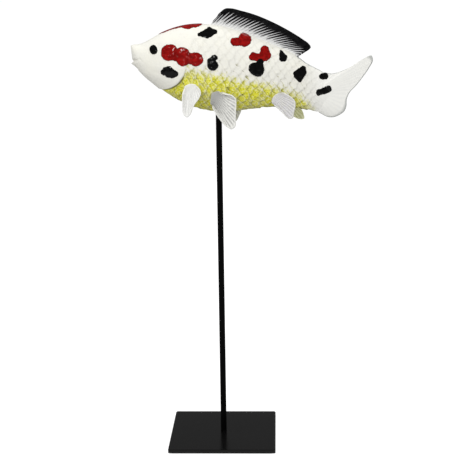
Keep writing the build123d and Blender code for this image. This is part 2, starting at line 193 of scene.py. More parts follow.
class Wiring:
    """Adds nodes to one node tree and links them from left to right."""

    def __init__(self, tree: bpy.types.NodeTree) -> None:
        """Keep the tree that the nodes go into."""
        self.tree = tree

    def feed(self, socket: bpy.types.NodeSocket, value: Value) -> None:
        """Link another node's output to a socket, or set a plain value on it.

        Args:
            socket: The input to feed.
            value: Another node's output, or a plain value.
        """
        if isinstance(value, bpy.types.NodeSocket):
            self.tree.links.new(value, socket)
        else:
            socket.default_value = value

    def add(self, kind: str, inputs: dict[str, Value] | None = None, **settings: Value) -> bpy.types.Node:
        """Add a node.

        Args:
            kind: The node's type name.
            inputs: Values or outputs for its inputs, by the input's name.
            **settings: Properties of the node.

        Returns:
            The new node.
        """
        node = self.tree.nodes.new(kind)
        for key, value in settings.items():
            setattr(node, key, value)
        for key, value in (inputs or {}).items():
            self.feed(node.inputs[key], value)
        return node

    def math(self, operation: str, *values: Value) -> bpy.types.NodeSocket:
        """Add a Math node.

        Args:
            operation: What the node works out.
            *values: Plain values or outputs of other nodes.

        Returns:
            The node's output.
        """
        node = self.add("ShaderNodeMath", operation=operation)
        for socket, value in zip(node.inputs, values):
            self.feed(socket, value)
        return node.outputs[0]

    def rest(self, share: Value) -> bpy.types.NodeSocket:
        """Return what a share leaves of 1."""
        return self.math("SUBTRACT", 1.0, share)

    def swing(self, share: Value) -> bpy.types.NodeSocket:
        """Return a share from 0 to 1 as a swing to both sides of zero."""
        return self.math("SUBTRACT", share, 0.5)

    def ease(self, value: Value, low: Value, high: Value) -> bpy.types.NodeSocket:
        """Return a value eased from 0 at low to 1 at high."""
        limits = {"Value": value, "From Min": low, "From Max": high}
        return self.add("ShaderNodeMapRange", limits, interpolation_type="SMOOTHSTEP").outputs[0]

    def mix(self, what: Mixed, *values: Value) -> bpy.types.NodeSocket:
        """Add a Mix node.

        Args:
            what: What the node mixes.
            *values: The share, then what shows at share 0 and at share 1.

        Returns:
            The node's output.
        """
        data_type, places, output = what.value
        node = self.add("ShaderNodeMix", data_type=data_type)
        for place, value in zip(places, values):
            self.feed(node.inputs[place], value)
        return node.outputs[output]

    def blend(self, share: Value, low: Value, high: Value) -> bpy.types.NodeSocket:
        """Return a number between two others, low at share 0 and high at share 1."""
        return self.mix(Mixed.NUMBER, share, low, high)

    def tone(self, share: Value, low: Value, high: Value) -> bpy.types.NodeSocket:
        """Return a colour between two others, low at share 0 and high at share 1."""
        return self.mix(Mixed.COLOUR, share, low, high)

    def noise(self, place: Value, scale: Value, detail: float, roughness: float) -> bpy.types.NodeSocket:
        """Return a cloudy noise from 0 to 1, read at a place."""
        inputs = {"Vector": place, "Scale": scale, "Detail": detail, "Roughness": roughness}
        return self.add("ShaderNodeTexNoise", inputs).outputs["Fac"]

    def carried(self, name: str) -> bpy.types.NodeSocket:
        """Return a number carried on the piece's points, in a material."""
        return self.add("ShaderNodeAttribute", attribute_name=name).outputs["Fac"]

    def stored(self, name: str) -> bpy.types.NodeSocket:
        """Return a number carried on the piece's points, in a geometry tree."""
        return self.add("GeometryNodeInputNamedAttribute", {"Name": name}, data_type="FLOAT").outputs[0]

    def enamel(self) -> bpy.types.NodeSocket:
        """Return where thick enamel lies on the piece's points, in a geometry tree."""
        covers = [self.stored(pigment.value) for pigment in Pigment]
        return self.ease(self.math("MAXIMUM", *covers), *ENAMEL_SPAN)

    def store(self, geometry: Value, name: str, value: Value) -> bpy.types.NodeSocket:
        """Return the geometry with a number stored on its points."""
        kept, kind = {"Geometry": geometry, "Name": name, "Value": value}, "GeometryNodeStoreNamedAttribute"
        return self.add(kind, kept, data_type="FLOAT", domain="POINT").outputs[0]

    def finish_geometry(self, geometry: Value, height: Value, material: Value) -> None:
        """Raise a geometry's points and end its tree in realized instances and a material.

        Args:
            geometry: What is raised.
            height: How far each point moves along its normal.
            material: The finish.
        """
        normal = self.add("GeometryNodeInputNormal").outputs[0]
        offset = self.add("ShaderNodeVectorMath", {"Vector": normal, "Scale": height}, operation="SCALE")
        moved = self.add("GeometryNodeSetPosition", {"Geometry": geometry, "Offset": offset.outputs[0]})
        realized = self.add("GeometryNodeRealizeInstances", {"Geometry": moved.outputs[0]}).outputs[0]
        dressed = self.add("GeometryNodeSetMaterial", {"Geometry": realized, "Material": material})
        self.add("NodeGroupOutput", {"Geometry": dressed.outputs[0]})


def new_tree(name: str, kind: str, inputs: dict[str, str], outputs: dict[str, str]) -> tuple[Wiring, Any]:
    """Start a node group.

    Args:
        name: Name of the group.
        kind: Type of the tree.
        inputs: Socket type of each input, by name.
        outputs: Socket type of each output, by name.

    Returns:
        The group's wiring and the outputs of its input node.
    """
    tree = bpy.data.node_groups.new(name, kind)
    for in_out, sockets in (("INPUT", inputs), ("OUTPUT", outputs)):
        for label, socket_type in sockets.items():
            tree.interface.new_socket(label, in_out=in_out, socket_type="NodeSocket" + socket_type)
    wiring = Wiring(tree)
    return wiring, wiring.add("NodeGroupInput").outputs


def run_tree(piece: bpy.types.Object, tree: bpy.types.NodeTree, values: dict[str, Value]) -> None:
    """Turn a piece into the plain mesh that a geometry tree makes of it.

    Args:
        piece: The object to change. Its other modifiers are baked in after the tree.
        tree: The geometry tree.
        values: Values of the tree's inputs, by name.
    """
    modifier = piece.modifiers.new(tree.name, "NODES")
    piece.modifiers.move(len(piece.modifiers) - 1, 0)
    modifier.node_group = tree
    for item in tree.interface.items_tree:
        if item.in_out == "INPUT" and item.name in values:
            modifier[item.identifier] = values[item.name]
    graph = bpy.context.evaluated_depsgraph_get()
    made = bpy.data.meshes.new_from_object(
        piece.evaluated_get(graph), preserve_all_data_layers=True, depsgraph=graph
    )
    piece.modifiers.clear()
    made.shade_smooth()
    piece.data = made


@dataclass(frozen=True)
class Dab:
    """One stroke of enamel, in millimetres, that swells or thins from its start to its end.

    On a flank its places are along the koi and above the table. On top they are along it and across it.
    """

    side: Side
    pigment: Pigment
    start: Pair
    radius: float
    end: Pair | None = None
    end_radius: float | None = None

    def clearance(self, points: np.ndarray) -> np.ndarray:
        """Tell how far points lie outside the dab.

        Args:
            points: Points on the koi.

        Returns:
            A distance for each point, below zero inside the dab.
        """
        flat = points[:, [0, 1]] if self.side is Side.TOP else points[:, [0, 2]]
        start = np.array(self.start) * MM
        run = np.array(self.end or self.start) * MM - start
        share = np.clip((flat - start) @ run / max(run @ run, MM * MM), 0, 1)
        end_radius = self.radius if self.end_radius is None else self.end_radius
        radius = (self.radius + (end_radius - self.radius) * share) * MM
        away = np.linalg.norm(flat - start - share[:, None] * run, axis=1) - radius
        if self.side is Side.TOP:
            return np.where(points[:, 2] > KOI_MIDDLE, away, PAINT_REACH)
        return np.where(points[:, 1] * self.side.value >= 0, away, PAINT_REACH)


RED, BLACK = Pigment.RED, Pigment.BLACK
LEFT, RIGHT, TOP = Side.LEFT, Side.RIGHT, Side.TOP

KOI_DABS = (
    Dab(LEFT, RED, (-64.0, 552.0), 10.6, (-61.5, 552.4), 10.6),
    Dab(LEFT, RED, (-62.0, 551.4), 8.0, (-46.0, 547.4), 8.6),
    Dab(LEFT, RED, (-45.8, 549.6), 9.8, (-44.6, 545.0), 10.2),
    Dab(LEFT, RED, (-44.0, 546.0), 7.6, (-28.0, 543.2), 7.4),
    Dab(LEFT, RED, (-27.4, 543.4), 9.4),
    Dab(LEFT, RED, (23.8, 565.0), 5.6, (34.0, 564.5), 5.0),
    Dab(LEFT, RED, (37.4, 567.2), 8.6, (36.4, 569.4), 7.4),
    Dab(LEFT, RED, (48.6, 545.6), 5.6, (58.0, 543.5), 5.0),
    Dab(LEFT, RED, (64.0, 547.4), 8.2, (64.0, 553.4), 5.9),
    Dab(TOP, RED, (-72.0, 0.0), 7.5, (-50.0, 0.0), 10.0),
    Dab(TOP, RED, (-36.5, -3.0), 13.0, (-31.0, -3.0), 11.5),
    Dab(LEFT, BLACK, (-84.6, 555.0), 5.4, (-84.6, 556.2), 5.4),
    Dab(LEFT, BLACK, (-70.6, 526.8), 4.4, (-64.0, 528.8), 6.0),
    Dab(LEFT, BLACK, (-68.2, 528.8), 4.8, (-63.0, 528.6), 6.0),
    Dab(LEFT, BLACK, (-64.0, 527.8), 6.2, (-55.4, 524.8), 4.5),
    Dab(LEFT, BLACK, (-64.5, 524.6), 5.0, (-59.5, 523.4), 4.6),
    Dab(LEFT, BLACK, (-23.0, 575.2), 2.6, (-12.4, 576.6), 6.4),
    Dab(LEFT, BLACK, (-12.4, 576.6), 6.4, (-1.8, 578.6), 2.8),
    Dab(LEFT, BLACK, (-10.6, 581.6), 3.2, (-2.2, 578.4), 2.8),
    Dab(LEFT, BLACK, (-5.4, 535.6), 7.6, (-8.0, 540.5), 4.8),
    Dab(LEFT, BLACK, (-8.0, 540.5), 4.5, (-3.0, 546.0), 3.2),
    Dab(LEFT, BLACK, (-4.0, 545.6), 3.4, (-0.6, 544.6), 2.6),
    Dab(LEFT, BLACK, (50.6, 529.8), 8.6, (55.0, 527.4), 8.4),
    Dab(LEFT, BLACK, (55.6, 532.0), 7.0, (58.0, 538.4), 4.2),
    Dab(LEFT, BLACK, (88.2, 543.6), 5.8, (85.4, 551.2), 1.6),
    Dab(LEFT, BLACK, (106.4, 521.0), 5.0, (115.2, 527.0), 4.2),
    Dab(LEFT, BLACK, (115.6, 523.0), 4.4, (110.8, 512.4), 2.6),
    Dab(LEFT, BLACK, (106.8, 518.8), 4.8, (110.6, 513.0), 2.8),
    Dab(LEFT, BLACK, (141.4, 516.0), 4.4, (144.8, 516.4), 4.6),
    Dab(LEFT, BLACK, (136.4, 494.6), 4.2, (149.2, 499.0), 4.8),
    Dab(RIGHT, BLACK, (-84.6, 555.0), 5.4, (-84.6, 556.2), 5.4),
    Dab(RIGHT, RED, (-61.0, 553.0), 8.6, (-58.0, 554.0), 9.2),
    Dab(RIGHT, RED, (-58.0, 553.0), 7.4, (-42.0, 550.0), 8.0),
    Dab(RIGHT, RED, (-41.0, 552.0), 10.4, (-38.0, 549.0), 9.6),
    Dab(RIGHT, RED, (20.0, 553.0), 6.4, (30.0, 551.0), 5.2),
    Dab(RIGHT, RED, (35.0, 548.0), 8.6, (34.0, 554.0), 6.4),
    Dab(RIGHT, RED, (80.0, 541.0), 6.2, (85.0, 545.0), 3.4),
    Dab(RIGHT, BLACK, (-68.0, 524.6), 4.8, (-60.0, 528.0), 6.2),
    Dab(RIGHT, BLACK, (-61.0, 526.0), 6.0, (-55.0, 524.4), 4.2),
    Dab(RIGHT, BLACK, (-14.0, 566.0), 7.2, (-5.0, 571.0), 3.0),
    Dab(RIGHT, BLACK, (-16.0, 567.0), 5.6, (-23.0, 565.6), 2.8),
    Dab(RIGHT, BLACK, (2.0, 533.0), 7.8, (6.0, 541.0), 4.2),
    Dab(RIGHT, BLACK, (6.0, 541.0), 4.0, (2.6, 545.4), 2.8),
    Dab(RIGHT, BLACK, (60.0, 530.0), 8.5, (64.0, 528.0), 7.6),
    Dab(RIGHT, BLACK, (61.0, 533.0), 6.4, (66.0, 539.0), 3.8),
    Dab(RIGHT, BLACK, (104.0, 517.6), 5.4, (112.0, 525.0), 4.4),
    Dab(RIGHT, BLACK, (112.0, 522.0), 4.4, (107.6, 511.6), 2.8),
    Dab(RIGHT, BLACK, (136.0, 500.0), 3.8, (148.0, 506.0), 4.6),
)


def paint_coverage(pigment: Pigment, points: np.ndarray) -> np.ndarray:
    """Tell how well a pigment covers points: a half along the edge of a spot, more inside it.

    Args:
        pigment: The enamel.
        points: Points on the koi.

    Returns:
        A number from 0 to 1 for each point.
    """
    away = np.min([dab.clearance(points) for dab in KOI_DABS if dab.pigment is pigment], axis=0)
    return np.clip(SPOT_EDGE - away / PAINT_REACH, 0, 1)


def painted(points: np.ndarray) -> dict[str, np.ndarray]:
    """Return the coverage of every pigment at points, by the attribute's name."""
    return {pigment.value: paint_coverage(pigment, points) for pigment in Pigment}


@dataclass(frozen=True)
class Brushwork:
    """The shared uneven brushwork of hand-painted resin. A grade is a noise's detail and roughness."""

    cloud_grade: Pair = (4.0, 0.6)
    fleck_grade: Pair = (3.0, 0.55)
    swell_grade: Pair = (0.0, 0.5)
    mottle_span: Pair = (0.3, 0.7)

    def group(self) -> bpy.types.NodeTree:
        """Make the group.

        Returns:
            A shader group with a mottle and a smooth swell from 0 to 1, and a height for bumps.
        """
        wiring, given = new_tree(
            "brushwork", "ShaderNodeTree", {"Patch Size": "Float", "Grain Size": "Float"},
            {"Mottle": "Float", "Swell": "Float", "Height": "Float"},
        )
        place = wiring.add("ShaderNodeTexCoord").outputs["Object"]
        patch = wiring.math("DIVIDE", 1.0, given["Patch Size"])
        grain = wiring.math("DIVIDE", 1.0, given["Grain Size"])
        wiring.add("NodeGroupOutput", {
            "Mottle": wiring.ease(wiring.noise(place, patch, *self.cloud_grade), *self.mottle_span),
            "Swell": wiring.noise(place, patch, *self.swell_grade),
            "Height": wiring.noise(place, grain, *self.fleck_grade),
        })
        return wiring.tree


@dataclass(frozen=True)
class PowderPeel:
    """The shared fine orange peel of a powder coat. A grade is a noise's detail and roughness."""

    peel_grade: Pair = (2.0, 0.5)
    cloud_grade: Pair = (3.0, 0.6)
    clouds_per_metre: float = 14.0
    speckle_span: Pair = (0.35, 0.65)

    def group(self) -> bpy.types.NodeTree:
        """Make the group.

        Returns:
            A shader group with a speckle from 0 to 1 and a height for bumps.
        """
        wiring, given = new_tree(
            "powder_peel", "ShaderNodeTree", {"Peel Size": "Float"},
            {"Speckle": "Float", "Height": "Float"},
        )
        place = wiring.add("ShaderNodeTexCoord").outputs["Object"]
        fine = wiring.math("DIVIDE", 1.0, given["Peel Size"])
        cloud = wiring.noise(place, self.clouds_per_metre, *self.cloud_grade)
        wiring.add("NodeGroupOutput", {
            "Speckle": wiring.ease(cloud, *self.speckle_span),
            "Height": wiring.noise(place, fine, *self.peel_grade),
        })
        return wiring.tree


class GroupShelf:
    """Keeps one copy of each shared shader group."""

    def __init__(self) -> None:
        """Build the groups once."""
        self.brushwork = Brushwork().group()
        self.powder = PowderPeel().group()

    def brush(self, wiring: Wiring, patch_size: float, grain_size: float) -> Any:
        """Place the brushwork in a material and return its outputs."""
        inputs = {"Patch Size": patch_size, "Grain Size": grain_size}
        return wiring.add("ShaderNodeGroup", inputs, node_tree=self.brushwork).outputs

    def peel(self, wiring: Wiring, peel_size: float) -> Any:
        """Place the powder's peel in a material and return its outputs."""
        return wiring.add("ShaderNodeGroup", {"Peel Size": peel_size}, node_tree=self.powder).outputs


def start_material(name: str) -> tuple[bpy.types.Material, Wiring, bpy.types.Node]:
    """Start a node material.

    Args:
        name: Name of the finish.

    Returns:
        The material, its wiring and its main shader.
    """
    material = bpy.data.materials.new(name)
    material.use_nodes = True
    return material, Wiring(material.node_tree), material.node_tree.nodes["Principled BSDF"]


@dataclass(frozen=True)
class Relief:
    """Fine bumps: what a height of 1 stands for, in metres, and how much of it shows."""

    depth: float
    strength: float


def lay_coat(
    wiring: Wiring, shader: bpy.types.Node, colour: Value, roughness: Value, height: Value, relief: Relief
) -> None:
    """Feed the main shader its colour, its roughness and its bumps.

    Args:
        wiring: The material's wiring.
        shader: The main shader.
        colour: The coat's colour.
        roughness: The coat's roughness.
        height: Height over the surface, from 0 to 1.
        relief: The bumps that the height makes.
    """
    inputs = {"Height": height, "Distance": relief.depth, "Strength": relief.strength}
    normal = wiring.add("ShaderNodeBump", inputs).outputs["Normal"]
    for name, value in (("Base Color", colour), ("Roughness", roughness), ("Normal", normal)):
        wiring.feed(shader.inputs[name], value)


@dataclass(frozen=True)
class PowderCoat:
    """Black powder coat on steel."""

    name: str
    low: Colour
    high: Colour
    roughness: Pair
    sheen: float
    peel_size: float = 0.9 * MM
    relief: Relief = Relief(0.03 * MM, 0.6)

    def material(self, groups: GroupShelf) -> bpy.types.Material:
        """Make the material.

        Args:
            groups: The shared shader groups.

        Returns:
            The finished material.
        """
        material, wiring, shader = start_material(self.name)
        coat = groups.peel(wiring, self.peel_size)
        colour = wiring.tone(coat["Speckle"], self.low, self.high)
        roughness = wiring.blend(coat["Speckle"], *self.roughness)
        lay_coat(wiring, shader, colour, roughness, coat["Height"], self.relief)
        shader.inputs["Specular IOR Level"].default_value = self.sheen
        return material


@dataclass(frozen=True)
class PlainStock:
    """Felt, nylon or bare steel of a hidden fitting."""

    name: str
    low: Colour
    high: Colour
    roughness: Pair
    metallic: float = 0.0
    patch_size: float = 4 * MM
    grain_size: float = 0.6 * MM
    relief: Relief = Relief(0.05 * MM, 0.5)

    def material(self, groups: GroupShelf) -> bpy.types.Material:
        """Make the material.

        Args:
            groups: The shared shader groups.

        Returns:
            The finished material.
        """
        material, wiring, shader = start_material(self.name)
        stock = groups.brush(wiring, self.patch_size, self.grain_size)
        colour = wiring.tone(stock["Mottle"], self.low, self.high)
        roughness = wiring.blend(stock["Height"], *self.roughness)
        lay_coat(wiring, shader, colour, roughness, stock["Height"], self.relief)
        shader.inputs["Metallic"].default_value = self.metallic
        return material


@dataclass(frozen=True)
class EnamelSpots:
    """The red and black enamel that is dabbed over the koi's ground colours, with painted shade along the
    red spots' edges.
    """

    red_deep: Colour = (0.16, 0.0015, 0.001, 1)
    red_bright: Colour = (0.33, 0.005, 0.004, 1)
    # painted shade: darker red along each red spot's edge, where the enamel stands proud
    red_rim_shade: Colour = (0.06, 0.001, 0.001, 1)
    black: Colour = (0.001, 0.001, 0.001, 1)
    black_worn: Colour = (0.003, 0.003, 0.003, 1)
    # how far inside the red spots' edge the painted shade reaches
    rim: float = 0.10
    edge: float = 0.016
    ragged: float = 0.085

    def lay(self, wiring: Wiring, ground: Value, brush: Any) -> tuple[Value, Value]:
        """Lay the spots over a ground colour.

        Args:
            wiring: The material's wiring.
            ground: The ground colour.
            brush: Outputs of the brushwork group.

        Returns:
            The colour with the spots on it and where enamel covers it, from 0 to 1.
        """
        wander = wiring.math("MULTIPLY", wiring.swing(brush["Mottle"]), self.ragged)
        reaches = [wiring.math("ADD", wiring.carried(pigment.value), wander) for pigment in Pigment]
        masks = [wiring.ease(reach, SPOT_EDGE - self.edge, SPOT_EDGE + self.edge) for reach in reaches]
        red = wiring.tone(brush["Mottle"], self.red_deep, self.red_bright)
        # painted shade along the red spots' edges
        red = wiring.tone(wiring.ease(reaches[0], SPOT_EDGE, SPOT_EDGE + self.rim), self.red_rim_shade, red)
        black = wiring.tone(brush["Mottle"], self.black, self.black_worn)
        over_red = wiring.tone(masks[0], ground, red)
        return wiring.tone(masks[1], over_red, black), wiring.math("MAXIMUM", *masks)


@dataclass(frozen=True)
class KoiPaint:
    """White koi skin with a yellow belly, enamel spots, painted shade and a satin varnish.

    A span eases a mask in between its two ends. Two shares are those at a mask's 0 and at its 1.
    """

    name: str = "koi_paint"
    white: Colour = (0.87, 0.855, 0.77, 1)
    pearl: Colour = (0.83, 0.82, 0.755, 1)
    # painted shade: the grey-brown laid in the pits between the white scales
    wash_and_shade: Colour = (0.34, 0.32, 0.28, 1)
    lemon: Colour = (0.80, 0.77, 0.035, 1)
    straw: Colour = (0.67, 0.645, 0.18, 1)
    # olive: the colour of the painted shade in the pits and along the keel, and of random specks
    olive: Colour = (0.12, 0.115, 0.015, 1)
    # cream: random dry-brushed flecks, and on the scales' rims partly a painted highlight
    cream: Colour = (0.92, 0.905, 0.55, 1)
    gill_shade: Colour = (0.05, 0.05, 0.015, 1)
    tail_white: Colour = (0.875, 0.87, 0.825, 1)
    back_shade: Colour = (0.52, 0.53, 0.51, 1)
    cloud_size: float = 16 * MM
    grain_size: float = 2.6 * MM
    fleck_patch: float = 5 * MM
    fleck_grain: float = 2.2 * MM
    broken_shade_span: Pair = (0.24, 0.62)
    broken_shade_share: float = 0.8
    pit_share: float = 0.36
    stale_share: float = 0.55
    stale_span: Pair = (0.46, 1.02)
    bright_span: Pair = (0.50, 1.00)
    dry_span: Pair = (0.52, 0.64)
    dry_share: float = 0.6
    pit_shade_shares: Pair = (0.35, 1.0)
    speck_span: Pair = (0.48, 0.36)
    speck_share: float = 0.42
    keel_shares: Pair = (0.15, 0.9)
    pit_creep: float = 0.30
    rim_creep: float = -0.25
    fleck_creep: float = 0.45
    belly_span: Pair = (0.15, 0.85)
    grain_shares: Pair = (0.75, 0.1)
    swell_share: float = 1.9
    relief: Relief = Relief(1.0 * MM, 0.7)
    roughness: Pair = (0.46, 0.08)
    sheen: float = 0.25
    spots: EnamelSpots = EnamelSpots()

    def material(self, groups: GroupShelf) -> bpy.types.Material:
        """Make the material.

        Args:
            groups: The shared shader groups.

        Returns:
            The finished material.
        """
        material, wiring, shader = start_material(self.name)
        brush = groups.brush(wiring, self.cloud_size, self.grain_size)
        fleck = groups.brush(wiring, self.fleck_patch, self.fleck_grain)
        rim, pit = wiring.carried("scale_rim"), wiring.carried("scale_shade")
        white = wiring.tone(brush["Mottle"], self.white, self.pearl)
        white = wiring.tone(self._white_shade(wiring, fleck, pit), white, self.wash_and_shade)
        yellow = self._yellow(wiring, fleck, rim, pit)
        ground = wiring.tone(self._below(wiring, fleck, rim, pit), white, yellow)
        # painted shadow under the gill covers and painted shade along the ridge of the back; towards the
        # tail the skin fades to the tail's own white
        shades = {"gill_shadow": self.gill_shade, "tail_end": self.tail_white, "ridge_shade": self.back_shade}
        for zone, shade in shades.items():
            ground = wiring.tone(wiring.carried(zone), ground, shade)
        colour, enamel = self.spots.lay(wiring, ground, fleck)
        grain = wiring.math("MULTIPLY", brush["Height"], wiring.blend(enamel, *self.grain_shares))
        swell = wiring.math("MULTIPLY", fleck["Swell"], self.swell_share)
        height = wiring.math("MULTIPLY_ADD", swell, enamel, grain)
        lay_coat(wiring, shader, colour, wiring.blend(enamel, *self.roughness), height, self.relief)
        shader.inputs["Specular IOR Level"].default_value = self.sheen
        return material

    def _white_shade(self, wiring: Wiring, fleck: Any, pit: Value) -> bpy.types.NodeSocket:
        """Mask the painted shade in the pits between the white scales, partly broken up by the mottle.

        Args:
            wiring: The material's wiring.
            fleck: Outputs of the fine brushwork.
            pit: The mask of the pits.

        Returns:
            The mask.
        """
        # painted shade: a patchy part where the mottle is high, and an even part in every pit
        broken_shade = wiring.ease(wiring.math("MULTIPLY", pit, fleck["Mottle"]), *self.broken_shade_span)
        even_shade = wiring.math("MULTIPLY", pit, self.pit_share)
        return wiring.math("MULTIPLY_ADD", broken_shade, self.broken_shade_share, even_shade)

    def _yellow(self, wiring: Wiring, fleck: Any, rim: Value, pit: Value) -> bpy.types.NodeSocket:
        """Mix the belly's yellow, creamy on the scales' rims and olive in the pits and along the keel. The
        cream on the rims is partly dry-brushed paint and partly a painted highlight; the olive in the pits
        and along the keel is painted shade.

        Args:
            wiring: The material's wiring.
            fleck: Outputs of the fine brushwork.
            rim: The mask of the scales' rims.
            pit: The mask of the pits.

        Returns:
            The colour.
        """
        tint = wiring.carried("scale_tint")
        stale = wiring.math("MULTIPLY", tint, self.stale_share)
        stale = wiring.math("MULTIPLY_ADD", fleck["Mottle"], self.stale_share, stale)
        yellow = wiring.tone(wiring.ease(stale, *self.stale_span), self.lemon, self.straw)
        # cream on the scales' rims: partly dry-brushed paint, partly a painted highlight
        bright = wiring.ease(wiring.math("ADD", tint, fleck["Height"]), *self.bright_span)
        bright = wiring.math("MULTIPLY", rim, bright)
        dry = wiring.math("MULTIPLY", wiring.ease(fleck["Height"], *self.dry_span), self.dry_share)
        yellow = wiring.tone(wiring.math("MAXIMUM", bright, dry), yellow, self.cream)
        # painted shade in olive in the pits, beside random olive specks
        shade = wiring.math("MULTIPLY", pit, wiring.blend(fleck["Mottle"], *self.pit_shade_shares))
        speck = wiring.math("MULTIPLY", wiring.ease(fleck["Height"], *self.speck_span), self.speck_share)
        yellow = wiring.tone(wiring.math("MAXIMUM", shade, speck), yellow, self.olive)
        # painted shade in olive along the keel
        keel = wiring.blend(fleck["Mottle"], *self.keel_shares)
        keel = wiring.math("MULTIPLY", wiring.carried("keel_shade"), keel)
        return wiring.tone(keel, yellow, self.olive)

    def _below(self, wiring: Wiring, fleck: Any, rim: Value, pit: Value) -> bpy.types.NodeSocket:
        """Mask the yellow belly, which creeps up between the scales.

        Args:
            wiring: The material's wiring.
            fleck: Outputs of the fine brushwork.
            rim: The mask of the scales' rims.
            pit: The mask of the pits.

        Returns:
            The mask.
        """
        creep = wiring.math("MULTIPLY", rim, self.rim_creep)
        creep = wiring.math("MULTIPLY_ADD", pit, self.pit_creep, creep)
        creep = wiring.math("MULTIPLY_ADD", wiring.swing(fleck["Mottle"]), self.fleck_creep, creep)
        return wiring.ease(wiring.math("ADD", wiring.carried("belly"), creep), *self.belly_span)


@dataclass(frozen=True)
class PearlFin:
    """Silvery white fin paint, grey in the grooves between the rays, towards the root and along the rim. The
    grey in the grooves is partly a grey wash and partly painted shade; the grey towards the root and along
    the rim is painted shade.

    The grey rim starts at a share along the rays, which differs at the fin's low and high ends.
    """

    name: str
    crest: Colour = (0.86, 0.855, 0.81, 1)
    # groove: grey between the rays, partly a grey wash and partly painted shade
    groove: Colour = (0.52, 0.52, 0.50, 1)
    # a mottled tint over the crest, the fin's own colour
    wash_and_shade: Colour = (0.86, 0.855, 0.81, 1)
    wash_share: float = 0.0
    # painted shade towards the root, used on the pelvic fins
    root_share: float = 0.0
    # painted shade: grey along the fin's outer edge, used on the tail
    rim: Colour = (0.44, 0.45, 0.43, 1)
    rim_share: float = 0.0
    patch_size: float = 5 * MM
    grain_size: float = 1.8 * MM
    groove_shares: Pair = (0.5, 1.0)
    root_span: Pair = (0.85, 0.15)
    root_end_span: Pair = (1.0, 0.84)
    low_span: Pair = (0.34, 0.20)
    high_span: Pair = (0.60, 0.66)
    rim_start_share: float = 0.965
    low_rim_share: float = 0.87
    high_rim_share: float = 0.90
    rim_full_share: float = 0.99
    relief: Relief = Relief(0.3 * MM, 0.4)
    roughness: Pair = (0.45, 0.16)
    sheen: float = 0.25
    spots: EnamelSpots = EnamelSpots()

    def material(self, groups: GroupShelf) -> bpy.types.Material:
        """Make the material.

        Args:
            groups: The shared shader groups.

        Returns:
            The finished material.
        """
        material, wiring, shader = start_material(self.name)
        brush = groups.brush(wiring, self.patch_size, self.grain_size)
        along, across = wiring.carried("ray_along"), wiring.carried("ray_across")
        washed = wiring.math("MULTIPLY", brush["Mottle"], self.wash_share)
        light = wiring.tone(washed, self.crest, self.wash_and_shade)
        uneven = wiring.blend(brush["Mottle"], *self.groove_shares)
        # grey in the grooves: partly a grey wash, partly painted shade
        hollow = wiring.math("MULTIPLY", wiring.rest(wiring.carried("ray_crest")), uneven)
        # painted shade towards the root
        inner = wiring.ease(along, *self.root_span)
        inner = wiring.math("MULTIPLY", inner, wiring.ease(across, *self.root_end_span))
        inner = wiring.math("MULTIPLY", inner, self.root_share)
        # painted shade along the outer edge, starting further in at the fin's low and high ends
        outer = wiring.blend(wiring.ease(across, *self.low_span), self.rim_start_share, self.low_rim_share)
        outer = wiring.blend(wiring.ease(across, *self.high_span), outer, self.high_rim_share)
        rim = wiring.math("MULTIPLY", wiring.ease(along, outer, self.rim_full_share), self.rim_share)
        ground = wiring.tone(wiring.math("MAXIMUM", hollow, inner), light, self.groove)
        colour, enamel = self.spots.lay(wiring, wiring.tone(rim, ground, self.rim), brush)
        height = wiring.math("ADD", brush["Height"], brush["Swell"])
        lay_coat(wiring, shader, colour, wiring.blend(enamel, *self.roughness), height, self.relief)
        shader.inputs["Specular IOR Level"].default_value = self.sheen
        return material


@dataclass(frozen=True)
class InkedFin:
    """Dorsal fin paint: white at the foot, with black strokes that run together along the edge.

    Reaches, drops and feet are shares of the length of a ray.
    """

    name: str = "dorsal_ink"
    white: Colour = (0.78, 0.78, 0.765, 1)
    shadow: Colour = (0.52, 0.52, 0.53, 1)
    ink: Colour = (0.001, 0.001, 0.0015, 1)
    ink_worn: Colour = (0.008, 0.008, 0.009, 1)
    patch_size: float = 5 * MM
    grain_size: float = 1.2 * MM
    gap_sharpness: float = 1.5
    gap_reach: float = 0.47
    chance_reach: float = 0.16
    ragged_reach: float = 0.20
    rear_span: Pair = (0.35, 0.95)
    rear_drop: float = 0.14
    stroke_foot: Pair = (0.24, 0.31)
    relief: Relief = Relief(0.3 * MM, 0.4)
    roughness: Pair = (0.45, 0.30)
    sheen: float = 0.08

    def material(self, groups: GroupShelf) -> bpy.types.Material:
        """Make the material.

        Args:
            groups: The shared shader groups.

        Returns:
            The finished material.
        """
        material, wiring, shader = start_material(self.name)
        brush = groups.brush(wiring, self.patch_size, self.grain_size)
        along, turn, crest = (wiring.carried(name) for name in ("ray_along", "ray_turn", "ray_crest"))
        ray = wiring.math("ROUND", turn)
        chance = wiring.add("ShaderNodeTexWhiteNoise", {"W": ray}, noise_dimensions="1D").outputs["Value"]
        wave = wiring.math("COSINE", wiring.math("MULTIPLY", turn, FULL_TURN))
        gap = wiring.math("POWER", wiring.math("MULTIPLY_ADD", wave, -0.5, 0.5), self.gap_sharpness)
        reach = wiring.math("MULTIPLY_ADD", gap, -self.gap_reach, along)
        reach = wiring.math("MULTIPLY_ADD", wiring.swing(chance), self.chance_reach, reach)
        reach = wiring.math("MULTIPLY_ADD", wiring.swing(brush["Height"]), self.ragged_reach, reach)
        rear = wiring.ease(wiring.carried("ray_across"), *self.rear_span)
        inked = wiring.ease(wiring.math("MULTIPLY_ADD", rear, self.rear_drop, reach), *self.stroke_foot)
        ground = wiring.tone(wiring.rest(crest), self.white, self.shadow)
        black = wiring.tone(brush["Mottle"], self.ink, self.ink_worn)
        colour, roughness = wiring.tone(inked, ground, black), wiring.blend(inked, *self.roughness)
        lay_coat(wiring, shader, colour, roughness, brush["Height"], self.relief)
        shader.inputs["Specular IOR Level"].default_value = self.sheen
        return material


